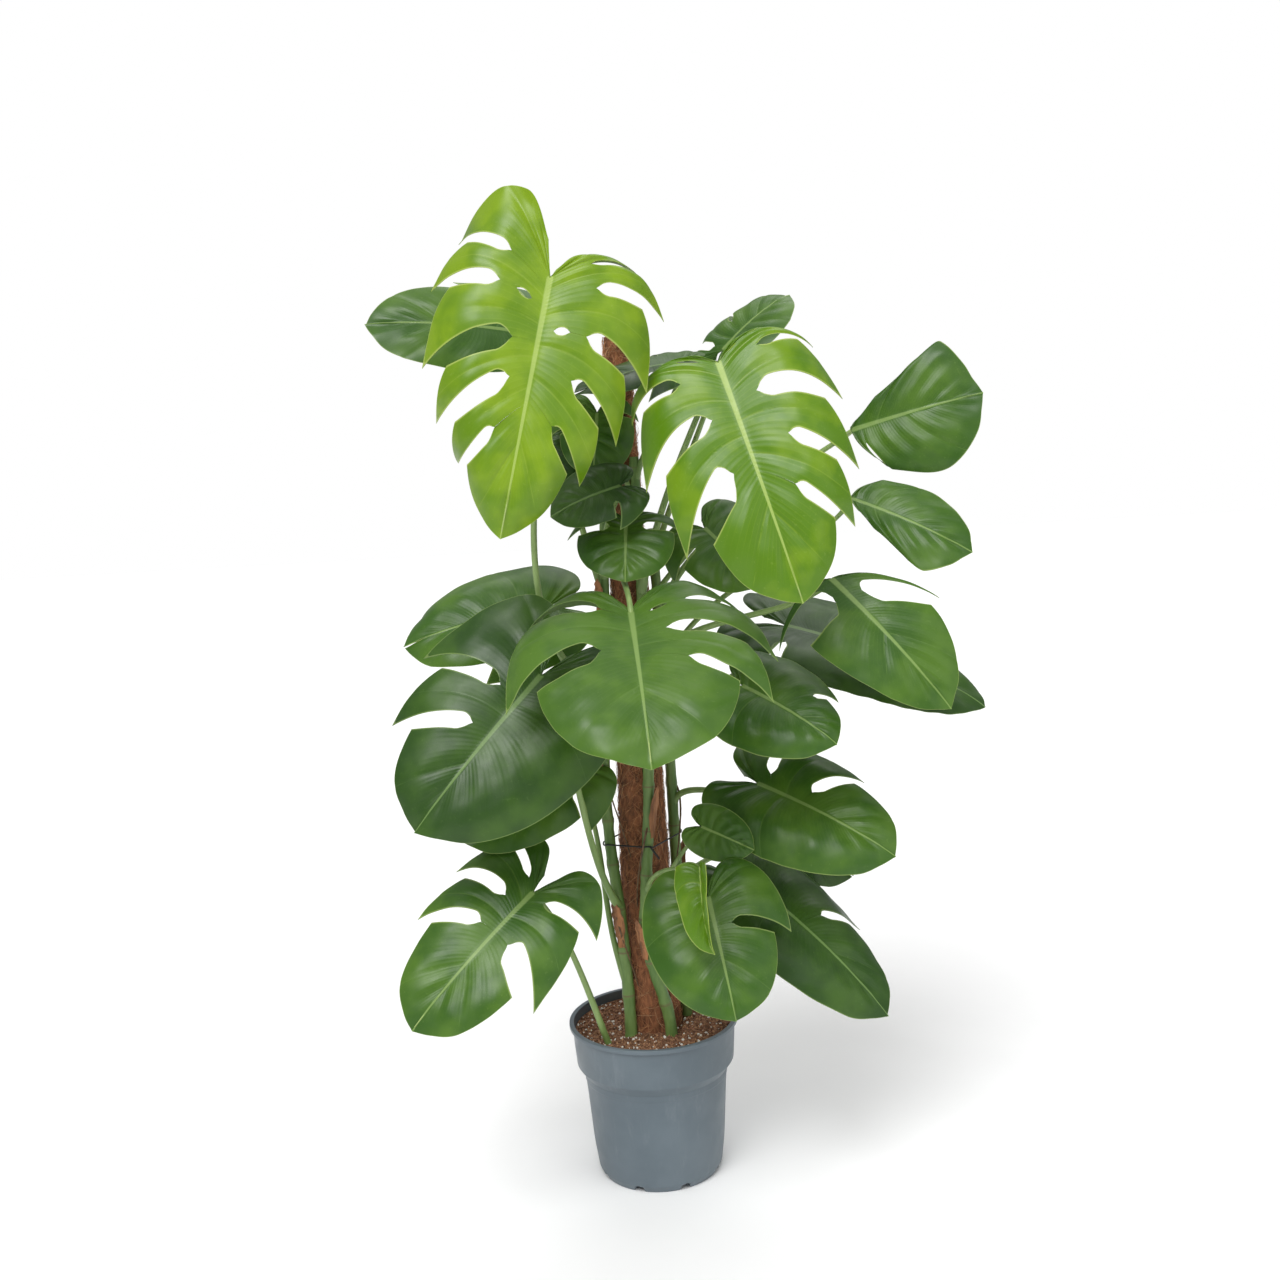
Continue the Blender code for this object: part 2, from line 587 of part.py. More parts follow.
def main():
    for old in list(bpy.data.objects):
        bpy.data.objects.remove(old)

    lime = material("leaf_lime", (0.26, 0.40, 0.03), 0.35)
    green = material("leaf_green", (0.13, 0.25, 0.05), 0.35)
    dark = material("leaf_dark", (0.06, 0.14, 0.03), 0.30)
    stalk_look = material("stalk", (0.22, 0.32, 0.09), 0.45)
    stem_look = material("stem", (0.12, 0.19, 0.07), 0.50)
    pot_look = material("pot", (0.15, 0.19, 0.22), 0.45)
    soil_look = material("soil", (0.12, 0.07, 0.04), 0.95)
    coir_look = material("coir", (0.20, 0.09, 0.04), 0.95)
    stake_look = material("stake", (0.50, 0.36, 0.20), 0.70)
    wire_look = material("tie_wire", (0.03, 0.03, 0.03), 0.40)

    plugs = []
    sleeve_plug = [(0, POLE_FOOT - 0.008), (POLE_RADIUS_LOW + CLEARANCE, POLE_FOOT - 0.008),
                   (POLE_RADIUS_LOW + CLEARANCE, POT_HEIGHT), (0, POT_HEIGHT)]
    plugs.append(turned("pole_plug", sleeve_plug, POLE_SIDES, soil_look))

    fat_stems = {}
    for name in STEMS:
        points = stem_points(name)
        radii = np.array([stem_radius(point[2]) for point in points])
        tube(name, points, radii, STEM_SIDES, stem_look)
        below = points[:1] + 0.05 * (points[:1] - points[1:2])
        above = points[-1:] + 0.05 * (points[-1:] - points[-2:-1])
        fat = np.vstack([below, points, above])
        fat_radii = np.concatenate([radii[:1], radii, radii[-1:]]) + 2 * CLEARANCE
        fat_stems[name] = tube(f"{name}_plug", fat, fat_radii, STEM_SIDES, soil_look)
        plugs.append(fat_stems[name])

    looks = {"leaf_01": lime, "leaf_02": lime, "leaf_25": lime}
    for name in ("leaf_05", "leaf_10", "leaf_13", "leaf_14", "leaf_18", "leaf_22", "leaf_26"):
        looks[name] = dark
    for name, spec in LEAVES.items():
        make_blade(name, spec, looks.get(name, green))
        points = stalk_points(spec)
        radii = np.linspace(STALK_RADIUS, STALK_TIP_RADIUS, len(points))
        stalk = tube(name.replace("leaf", "stalk"), points, radii, STALK_SIDES, stalk_look)
        if spec["stem"] == "soil":
            below = points[:1] + (points[:1] - points[1:2]) * 0.05
            fat = np.vstack([below, points[:6]])
            fat_radii = np.concatenate([radii[:1], radii[:6]]) + 2 * CLEARANCE
            plugs.append(tube(f"{name}_plug", fat, fat_radii, STALK_SIDES, soil_look))
        else:
            cut(stalk, fat_stems[spec["stem"]])

    make_pot(pot_look)
    make_soil(soil_look, plugs)
    make_pole(coir_look, stake_look)
    make_tie(wire_look)


main()
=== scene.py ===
import math

import bpy
import numpy as np
from mathutils import Matrix
from numpy import clip, concatenate, cos, exp, hypot, interp, linspace, pi, sin, sqrt, stack, where


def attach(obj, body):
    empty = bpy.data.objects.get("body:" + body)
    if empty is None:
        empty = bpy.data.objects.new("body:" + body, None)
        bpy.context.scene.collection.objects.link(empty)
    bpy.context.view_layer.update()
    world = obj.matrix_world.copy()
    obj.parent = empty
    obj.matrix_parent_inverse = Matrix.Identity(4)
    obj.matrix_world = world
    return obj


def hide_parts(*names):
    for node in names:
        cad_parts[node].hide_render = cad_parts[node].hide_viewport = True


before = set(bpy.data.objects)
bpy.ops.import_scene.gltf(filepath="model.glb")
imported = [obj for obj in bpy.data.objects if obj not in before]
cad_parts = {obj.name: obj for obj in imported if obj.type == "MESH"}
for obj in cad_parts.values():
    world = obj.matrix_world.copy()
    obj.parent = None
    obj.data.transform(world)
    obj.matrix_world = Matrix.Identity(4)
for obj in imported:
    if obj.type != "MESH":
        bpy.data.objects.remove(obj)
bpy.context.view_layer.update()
print("frame loaded:", len(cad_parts), "nodes")

# How a blade is drawn flat: its edge from the stalk round to the tip, as shares of its length and half width.
bladePlan = {
    "edge": ((-0.13, 0.07), (-0.27, 0.28), (-0.27, 0.6), (-0.1, 0.88), (0.17, 1.00),
             (0.44, 0.95), (0.68, 0.79), (0.87, 0.52), (0.955, 0.22), (1.00, 0.00)),
    "midribEnd": 0.8, "fanShare": 0.26, "veinBow": 15.0, "blunt": 0.62, "backRound": 0.18,
    "frontHook": 0.09, "rows": 36, "columnShare": 0.0095, "thickness": 0.0007, "lobeArch": 0.045,
    "veinGroove": 0.0007, "puffHeight": 0.0012, "minorVeins": 20, "pleats": 9, "pleatHeight": 0.0011,
    "ribHalf": 0.0032, "ribHeight": 0.001, "ribTaper": 1.3, "ribEnd": 0.0009, "usualHalf": 0.12,
    "backPower": 2.2, "hookPower": 4, "curlFrom": 0.1, "curlTo": 0.8, "veinScale": 0.9, "sideScale": 2.2,
    "grooveWidth": 0.003, "archedBelow": 0.5, "farGap": 9.0, "swayPower": 1.5,
}

# Each kind of cut between two lobes: openings as (from, to, half width), shares of a vein and of the edge.
cutKinds = {
    "|": ((0.42, 1.0, 0.02),),
    "V": ((0.18, 1.0, 0.085),),
    "!": ((0.25, 1.0, 0.03),),
    ",": ((0.62, 1.0, 0.016),),
    "^": ((0.28, 1.0, 0.05),),
    "o": ((0.22, 0.46, 0.012),),
    "-": ((0.36, 0.86, 0.016),),
    "*": ((0.12, 0.24, 0.012), (0.42, 1.0, 0.02)),
    "=": ((0.16, 0.3, 0.011), (0.46, 0.86, 0.015)),
}


def leaf(stem, node, at, tip, faces, width, left, right, look="leaf_green", **shape):
    usual = {"bend": 25, "fold": 12, "cup": 30, "curl": (5, 40), "curlRight": None, "wave": 0.004,
             "heel": (1.0, 1.0), "waist": (0.0, 0.0), "sweep": (0.0, 0.0), "taper": 0.0,
             "leave": None, "arrive": None, "foot": None,
             "quilt": 0.55 if look == "leaf_lime" else 0.16, "tone": 0.0}
    return dict(usual, stem=stem, node=node, at=at, tip=tip, faces=faces, width=width,
                left=left, right=right, look=look, **shape)


# From leaf_01 to leaf_26: where each leaf leaves its stem, its stalk's end, its tip, the way it faces, its
# width and its cuts.
leafRows = (
    leaf("stem_left", 0.7, (-0.074, -0.21, 1.244), (-0.149, -0.28, 0.942), (0.1, -1, 0.2), 0.3,
         "28| 40| 52* 62| 73|", "34| 43* 56! 66! 76|", "leaf_lime", curl=(70, 30, 40, 60),
         curlRight=(-10, 60, 50, 80), heel=(0.6, 1.15), taper=0.25, leave=(-0.8, -0.35, 0.5), tone=0.25),
    leaf("stem_front", 0.84, (0.123, -0.19, 1.134), (0.204, -0.29, 0.848), (-0.1, -1, 0.3), 0.27,
         "26= 38| 50! 62| 74|", "30o 42| 54! 69^", "leaf_lime", curl=(20, 60, 50), curlRight=(20, 60, 30),
         heel=(0.35, 0.3), tone=-0.45),
    leaf("stem_left", 0.84, (-0.12, -0.01, 1.19), (-0.325, -0.04, 1.21), (-0.2, -0.8, 0.5), 0.16, "45|",
         "30! 42! 56|", curl=(0, 20)),
    leaf("stem_front", 0.95, (-0.03, -0.045, 1.08), (-0.04, -0.062, 0.998), (0.1, -1, 0.1), 0.12, "40|",
         "55|"),
    leaf("stem_front", 0.99, (0.085, -0.055, 1.14), (-0.055, -0.1, 1.105), (-0.25, -0.35, 0.9), 0.14,
         "40| 60|", "50|", "leaf_dark", arrive=(0.2, 0.1, 0.95)),
    leaf("stem_back", 0.88, (0.145, 0.04, 1.155), (0.24, 0.06, 1.225), (-0.3, -0.4, 0.8), 0.16, "35^ 60|",
         "40^"),
    leaf("stem_back", 0.8, (0.315, 0.035, 1.037), (0.49, 0.01, 1.078), (0, -1, 0.3), 0.19, "", "38-",
         curl=(0, 10), curlRight=(0, 10), heel=(0.1, 0.1), waist=(0.8, 0.3), sweep=(0.65, 0.3),
         arrive=(0.3, -1, 0.35)),
    leaf("stem_back", 0.72, (0.3, -0.045, 0.95), (0.445, -0.108, 0.876), (-0.1, -0.8, 0.6), 0.12, "", "",
         curl=(0, 20), heel=(0.1, 0.1), waist=(0.3, 0.6), sweep=(0.2, 0.55)),
    leaf("stem_front", 0.72, (0.256, -0.15, 0.858), (0.39, -0.22, 0.696), (0.1, -1, 0.5), 0.23, "44V",
         "42V", curl=(0, 20), curlRight=(10, 30), heel=(0.2, 0.3), sweep=(0.45, 0.1), taper=0.45),
    leaf("stem_back", 0.62, (0.215, 0.01, 0.775), (0.465, -0.08, 0.665), (0.1, -0.4, 0.9), 0.23, "", "42|",
         "leaf_dark"),
    leaf("stem_front", 0.6, (0.14, -0.12, 0.72), (0.25, -0.2, 0.655), (0, -0.7, 0.7), 0.16, "70,", ""),
    leaf("stem_back", 0.53, (0.16, -0.05, 0.57), (0.33, -0.14, 0.485), (0, -0.7, 0.7), 0.19, "40! 62!", ""),
    leaf("stem_back", 0.4, (0.175, 0.095, 0.47), (0.3, 0.06, 0.395), (0.1, -0.6, 0.8), 0.15, "45|",
         "40| 60|", "leaf_dark"),
    leaf("stem_back", 0.32, (0.15, -0.045, 0.425), (0.315, -0.13, 0.26), (0.3, -0.6, 0.7), 0.17, "62|", "",
         "leaf_dark"),
    leaf("stem_front", 0.32, (0.08, -0.165, 0.452), (0.105, -0.235, 0.31), (0, -0.9, 0.5), 0.19, "55!", "",
         curl=(10, 30)),
    leaf("stem_front", 0.38, (0.078, -0.105, 0.53), (0.145, -0.125, 0.5), (0, -1, 0.4), 0.075, "", ""),
    leaf("stem_left", 0.86, (0.000, -0.19, 0.834), (0.014, -0.37, 0.68), (0, -0.6, 0.8), 0.34,
         "36= 50! 63|", "34^ 58^", curl=(30, 40, 20), curlRight=(50, 40), arrive=(0, -0.5, -0.85),
         tone=0.35),
    leaf("stem_left", 0.4, (-0.12, -0.14, 0.752), (-0.286, -0.22, 0.576), (-0.1, -1, 0.4), 0.27, "",
         "50! 66!", "leaf_dark", heel=(1.2, 1.2), curl=(0, 30), leave=(-0.35, -0.75, 0.8)),
    leaf("stem_left", 0.6, (-0.118, 0.035, 0.816), (-0.316, 0.015, 0.775), (-0.2, -0.7, 0.7), 0.19, "60|",
         ""),
    leaf("stem_left", 0.29, (-0.096, -0.032, 0.598), (-0.243, -0.08, 0.52), (-0.1, -0.8, 0.6), 0.16, "45|",
         "50o"),
    leaf("soil", 0.17, (-0.15, -0.13, 0.46), (-0.31, -0.22, 0.315), (-0.2, -0.9, 0.5), 0.21, "38! 60^",
         "30! 46! 60!", curl=(0, 30), foot=(-0.052, -0.052)),
    leaf("stem_left", 0.9, (-0.005, -0.12, 0.988), (-0.095, -0.14, 0.955), (0, -0.7, 0.7), 0.11, "50|", "",
         "leaf_dark"),
    leaf("stem_front", 0.9, (0.000, -0.11, 0.94), (-0.005, -0.165, 0.87), (0, -0.8, 0.6), 0.15, "45^",
         "45^", curl=(30, 30)),
    leaf("stem_front", 0.8, (0.105, -0.035, 0.92), (0.17, -0.09, 0.845), (-0.2, -0.6, 0.8), 0.15, "50|",
         "50|"),
    leaf("stem_front", 0.42, (0.07, -0.222, 0.512), (0.08, -0.25, 0.405), (-0.7, -0.7, 0), 0.07, "", "",
         "leaf_lime", fold=50, curl=(0, 0), heel=(0.15, 0.15), tone=-0.5),
    leaf("stem_left", 0.985, (-0.092, -0.025, 1.055), (-0.125, -0.047, 0.965), (-0.1, -1, 0.3), 0.13, "45|",
         "45|", "leaf_dark"),
)
leafPlans = {f"leaf_{number:02}": plan for number, plan in enumerate(leafRows, 1)}

# Each stem: height, bearing and gap to the pole at points along it.
stemPlans = {
    "stem_left": ((0.15, -128, 0.002), (0.25, -130, 0.002), (0.33, -136, 0.003), (0.4, -142, 0.005),
                  (0.5, -156, 0.01), (0.6, -163, 0.011), (0.75, -160, 0.008), (0.9, -150, 0.005),
                  (1.00, -140, 0.004)),
    "stem_front": ((0.15, -62, 0.003), (0.24, -64, 0.003), (0.32, -86, 0.002), (0.37, -95, 0.002),
                   (0.45, -88, 0.002), (0.56, -76, 0.003), (0.75, -66, 0.003), (0.9, -62, 0.003),
                   (1.02, -60, 0.003)),
    "stem_back": ((0.15, 25, 0.004), (0.3, 26, 0.005), (0.5, 24, 0.007), (0.65, 20, 0.008),
                  (0.8, 16, 0.006), (0.92, 12, 0.005)),
}
stemShape = {"low": 0.15, "high": 1.18, "radiusLow": 0.0085, "radiusHigh": 0.006, "sides": 20,
             "nodeSpacing": 0.062, "nodeSwell": 0.14, "nodeReach": 0.09, "offset": 0.011, "bump": 0.05}
poleShape = {"foot": 0.022, "top": 1.18, "radiusLow": 0.045, "radiusHigh": 0.0175}
stalkShape = {"radius": 0.005, "tipRadius": 0.0034, "midribRadius": 0.0026, "endRadius": 0.0005,
              "baseSwell": 0.45, "baseReach": 0.07, "kneeSwell": 0.16, "kneeAt": 0.95, "kneeReach": 0.035,
              "kneeDrop": 0.0034, "ribSink": 0.72, "ribFrom": 0.02, "ribTo": 0.97, "ribPower": 0.7,
              "fullHalf": 0.1, "leaveReach": 0.35, "arriveReach": 0.3, "steps": 40, "sides": 12}


def unit(vectors):
    return vectors / (np.linalg.norm(vectors, axis=-1, keepdims=True) + 1e-12)


# Catmull-Rom: between two points a cubic whose end slopes are half the chord between their neighbours.
def smoothCurve(points, steps):
    points = np.array(points, float)
    ends = np.vstack([2 * points[0] - points[1], points, 2 * points[-1] - points[-2]])
    p0, p1, p2, p3 = (ends[k:len(ends) - 3 + k, None] for k in range(4))
    u = linspace(0, 1, steps, endpoint=False)[None, :, None]
    curve = 0.5 * (2 * p1 + (p2 - p0) * u + (2 * p0 - 5 * p1 + 4 * p2 - p3) * u**2
                   + (3 * p1 - p0 - 3 * p2 + p3) * u**3)
    return np.vstack([curve.reshape(-1, points.shape[1]), points[-1:]])


# Cubic Bezier through two ends and two handles.
def bezierCurve(p0, p1, p2, p3, count):
    u = linspace(0, 1, count)[:, None]
    return (1 - u) ** 3 * p0 + 3 * u * (1 - u) ** 2 * p1 + 3 * u**2 * (1 - u) * p2 + u**3 * p3


# Soft lumps: the mean of sine waves that run in random directions, each about one wave per size.
def lumps(points, size, seed, count=9):
    rng = np.random.default_rng(seed)
    directions = unit(rng.normal(size=(count, 3))) * rng.uniform(0.7, 1.6, (count, 1))
    phases = rng.uniform(0, 2 * pi, count)
    return sin(points @ (directions.T * 2 * pi / size) + phases).mean(axis=-1) * 2


# Quads of several grids of the same size that follow each other in the list of points.
def gridQuads(rows, columns, copies=1, flip=False):
    corner = (np.arange(rows - 1)[:, None] * columns + np.arange(columns - 1)).ravel()
    quads = stack([corner, corner + 1, corner + columns + 1, corner + columns], axis=1)
    quads = quads[:, ::-1] if flip else quads
    return (quads[None] + (np.arange(copies) * rows * columns)[:, None, None]).reshape(-1, 4)


# Angles once round, closed exactly.
def fullTurn(count):
    w = linspace(0, 2 * pi, count + 1)
    w[-1] = 0
    return w


# Points at a radius and bearing round the upright axis, and at a height.
def polar(radius, bearing, height):
    flat = radius * cos(bearing), radius * sin(bearing), height
    return stack(np.broadcast_arrays(*flat), axis=-1)


# Joins points at the same place, then turns quads that lost a corner into triangles.
def weld(points, quads, values):
    _, first, index = np.unique(np.round(points, 6), axis=0, return_index=True, return_inverse=True)
    quads = index.ravel()[quads]
    same = quads == np.roll(quads, -1, axis=1)
    whole = quads[~same.any(axis=1)]
    thin = quads[same.sum(axis=1) == 1]
    keep = ~same[same.sum(axis=1) == 1]
    triangles = thin[keep].reshape(-1, 3)
    return points[first], [whole, triangles], {key: value[first] for key, value in values.items()}


# Normal of each point: the sum of the normals of the faces round it, each as long as its face is large.
def pointNormals(points, faceSets):
    normals = np.zeros_like(points)
    for faces in faceSets:
        if len(faces):
            first = points[faces[:, 2]] - points[faces[:, 0]]
            second = points[faces[:, -1]] - points[faces[:, 1]]
            area = np.cross(first, second)
            for corner in faces.T:
                np.add.at(normals, corner, area)
    return unit(normals)


# A sheet made solid: a copy pushed back along the normals, and a rim along every edge that only one face has.
def thicken(points, faceSets, thickness):
    count = len(points)
    back = points - pointNormals(points, faceSets) * thickness
    edges = np.vstack([stack([faces.ravel(), np.roll(faces, -1, axis=1).ravel()], axis=1)
                       for faces in faceSets])
    forward = edges[:, 0] * count + edges[:, 1]
    backward = edges[:, 1] * count + edges[:, 0]
    rim = edges[~np.isin(forward, backward)]
    rimQuads = stack([rim[:, 1], rim[:, 0], rim[:, 0] + count, rim[:, 1] + count], axis=1)
    under = [faces[:, ::-1] + count for faces in faceSets]
    return np.vstack([points, back]), faceSets, under, rimQuads


def addPiece(name, points, faceGroups, looks, slot, node=None, values=None, sharp=50):
    mesh = bpy.data.meshes.new(name)
    faces = [face for group in faceGroups for part in group for face in part.tolist()]
    mesh.from_pydata(points.tolist(), [], faces)
    for look in looks:
        mesh.materials.append(look)
    sizes = [sum(len(part) for part in group) for group in faceGroups]
    mesh.polygons.foreach_set("material_index", np.repeat(np.arange(len(sizes)), sizes).astype(np.int32))
    for key, value in (values or {}).items():
        mesh.attributes.new(key, "FLOAT", "POINT").data.foreach_set("value", value.astype(np.float32))
    mesh.shade_smooth()
    mesh.set_sharp_from_angle(angle=math.radians(sharp))
    mesh.update()
    piece = bpy.data.objects.new(name, mesh)
    bpy.context.scene.collection.objects.link(piece)
    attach(piece, "root")
    if node:
        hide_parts(node)
    return piece


# One grid of points, or many of the same size, welded into one piece.
def addGrid(name, points, look, slot, node=None, flip=False, sharp=50):
    *copies, rows, columns, _ = points.shape
    quads = gridQuads(rows, columns, math.prod(copies), flip)
    points, faces, _ = weld(points.reshape(-1, 3), quads, {})
    return addPiece(name, points, [faces], [look], slot, node, sharp=sharp)


# Rings round a path, or round many paths at once: each ring lies across the path's direction, and its
# corners are radius times the cosine along one side vector plus radius times the sine along the other.
def tubePoints(path, radii, sides, reference):
    ahead = unit(np.gradient(path, axis=-2))
    side = unit(np.cross(ahead, np.broadcast_to(reference, ahead.shape)))
    up = np.cross(side, ahead)
    w = fullTurn(sides)
    ring = side[..., None, :] * cos(w)[:, None] + up[..., None, :] * sin(w)[:, None]
    return path[..., None, :] + ring * np.asarray(radii)[..., None, None]


def addTube(name, path, radii, sides, reference, look, slot, node=None, values=None, relief=None):
    path = np.vstack([path[:1], path, path[-1:]])
    path[0] -= 1e-5 * unit(path[2] - path[1])
    path[-1] += 1e-5 * unit(path[-2] - path[-3])
    radii = concatenate([[0], radii, [0]])
    points = tubePoints(path, radii, sides, reference)
    if relief is not None:
        centre = path[:, None]
        points = centre + (points - centre) * (1 + relief(points))[..., None]
    rows = len(path)
    spread = {key: np.repeat(concatenate([value[:1], value, value[-1:]]), sides + 1)
              for key, value in (values or {}).items()}
    points, faces, spread = weld(points.reshape(-1, 3), gridQuads(rows, sides + 1, flip=True), spread)
    return addPiece(name, points, [faces], [look], slot, node, spread)


edgeCurve = smoothCurve(bladePlan["edge"], 40)
edgeShare = concatenate([[0], np.cumsum(np.linalg.norm(np.diff(edgeCurve, axis=0), axis=1))])
edgeShare /= edgeShare[-1]


# Flat place of the point at share t of the vein to share s of the edge: a quadratic curve from the vein's
# root on the midrib to the edge, bowed towards the tip by veinBow. The heel stretches what lies behind the
# stalk, the waist narrows the blade near it, and the sweep slants the lobes towards the tip.
def flatBlade(spec, side, s, t):
    edgeA = interp(s, edgeShare, edgeCurve[:, 0])
    edgeB = interp(s, edgeShare, edgeCurve[:, 1])
    half = 0 if side > 0 else 1
    wide = clip((edgeA + 0.25) / 0.8, 0, 1)
    edgeB = edgeB * (1 - spec["waist"][half] * (1 - wide * wide * (3 - 2 * wide)))
    edgeA = where(edgeA < 0, edgeA * spec["heel"][half], edgeA)
    edgeA = edgeA + spec["sweep"][half] * edgeB * (1 - edgeA)
    edgeB = edgeB * (1 - spec["taper"] * clip(edgeA, 0, 1))
    fan = bladePlan["fanShare"]
    root = bladePlan["midribEnd"] * clip((s - fan) / (1 - fan), 0, 1) ** 1.25
    bow = 0.5 * np.tan(np.radians(bladePlan["veinBow"]) * sin(pi * s))
    middleA = (root + edgeA) / 2 - bow * edgeB
    middleB = edgeB / 2 + bow * (edgeA - root)
    a = (1 - t) ** 2 * root + 2 * t * (1 - t) * middleA + t**2 * edgeA
    b = 2 * t * (1 - t) * middleB + t**2 * edgeB
    return a, b


# Running sums of cosine and sine: the curve whose direction is the given angle at each step.
def arcTable(angles, step):
    x = concatenate([[0], np.cumsum((cos(angles[1:]) + cos(angles[:-1])) / 2) * step])
    z = concatenate([[0], np.cumsum((sin(angles[1:]) + sin(angles[:-1])) / 2) * step])
    return x, z


# The bent blade's own axes and tables: the midrib is an arc from stalk to tip, the sides fold up and then
# cup down.
def bladeFrame(spec):
    at = np.array(spec["at"])
    chord = np.array(spec["tip"]) - at
    along = unit(chord)
    face = np.array(spec["faces"])
    face = unit(face - face @ along * along)
    a = linspace(-0.5, 1.2, 171)
    turn = math.radians(spec["bend"]) * clip(a**2 + a, 0, None) / 2
    x, z = arcTable(turn, a[1] - a[0])
    x -= interp(0, a, x)
    z -= interp(0, a, z)
    endX = interp(1, a, x)
    endZ = interp(1, a, z)
    length = np.linalg.norm(chord) / math.hypot(endX, endZ)
    lift = math.atan2(endZ, endX)
    bent = {"at": at, "a": a, "turn": turn, "x": x * length, "z": -z * length, "length": length,
            "along": math.cos(lift) * along + math.sin(lift) * face,
            "normal": math.cos(lift) * face - math.sin(lift) * along,
            "half": spec["width"] / 2, "b": linspace(0, 1.3, 66)}
    bent["across"] = np.cross(bent["normal"], bent["along"])
    lean = math.radians(spec["fold"]) - math.radians(spec["cup"]) * bent["b"]
    bent["out"], bent["rise"] = arcTable(lean, bent["b"][1] - bent["b"][0])
    return bent


# Points of the bent midrib at shares a of its length, and the blade's normals there.
def midribAt(bent, a):
    turn, x, z = (interp(a, bent["a"], bent[key])[..., None] for key in ("turn", "x", "z"))
    normal = cos(turn) * bent["normal"] + sin(turn) * bent["along"]
    return bent["at"] + x * bent["along"] + z * bent["normal"], normal


# A flat place carried onto the bent blade, then the outer half of each lobe turned down on an arc.
def placeOnBlade(spec, bent, s, t, side, curl):
    a, b = flatBlade(spec, side, s, t)
    half = bent["half"]
    middle, normal = midribAt(bent, a)
    out = side * half * interp(b, bent["b"], bent["out"])[..., None]
    rise = half * interp(b, bent["b"], bent["rise"])[..., None]
    points = middle + out * bent["across"] + rise * normal
    reach = (clip(t - 0.5, 0, None) * half)[..., None]
    bow = where(abs(curl) < 1e-3, 1e-3, np.radians(curl))[..., None] / (0.5 * half)
    nextA, nextB = flatBlade(spec, side, s, t + 0.01)
    outward = ((nextA - a) * bent["length"])[..., None] * bent["along"]
    outward = unit(outward + (side * (nextB - b) * half)[..., None] * bent["across"])
    points -= (reach - sin(reach * bow) / bow) * outward
    points -= (1 - cos(reach * bow)) / bow * normal
    return points, normal


def cutPlaces(code):
    return [int(word[:-1]) / 100 for word in code.split()]


# Half width of the cut beside a lobe at share t of its vein: a slot with a round inner end that narrows
# towards the edge, or an ellipse for a hole.
def cutWidth(t, kind):
    width = np.zeros_like(t)
    for start, end, half in cutKinds.get(kind, ()):
        x = clip((t - start) / (end - start), 0, 1)
        if end == 1:
            width = width + half * sqrt(clip(7 * x, 0, 1)) * (1 - 0.45 * x)
        else:
            width = width + half * sqrt(clip(1 - (2 * x - 1) ** 2, 0, 1))
    return width


def isOpen(kind):
    return any(end == 1 for _, end, _ in cutKinds.get(kind, ()))


# Where the grid's columns stand, the same on both sides so that they meet along the midrib.
def columnShares(spec):
    knots = {0.0, 1.0}
    for code in (spec["left"], spec["right"]):
        bounds = [0.0, *cutPlaces(code), 1.0]
        knots.update(bounds)
        knots.update(round((low + high) / 2, 6) for low, high in zip(bounds, bounds[1:]))
    knots = sorted(knots)
    shares = [np.zeros(1)]
    for low, high in zip(knots, knots[1:]):
        shares.append(linspace(low, high, math.ceil((high - low) / bladePlan["columnShare"]) + 1)[1:])
    return concatenate(shares)


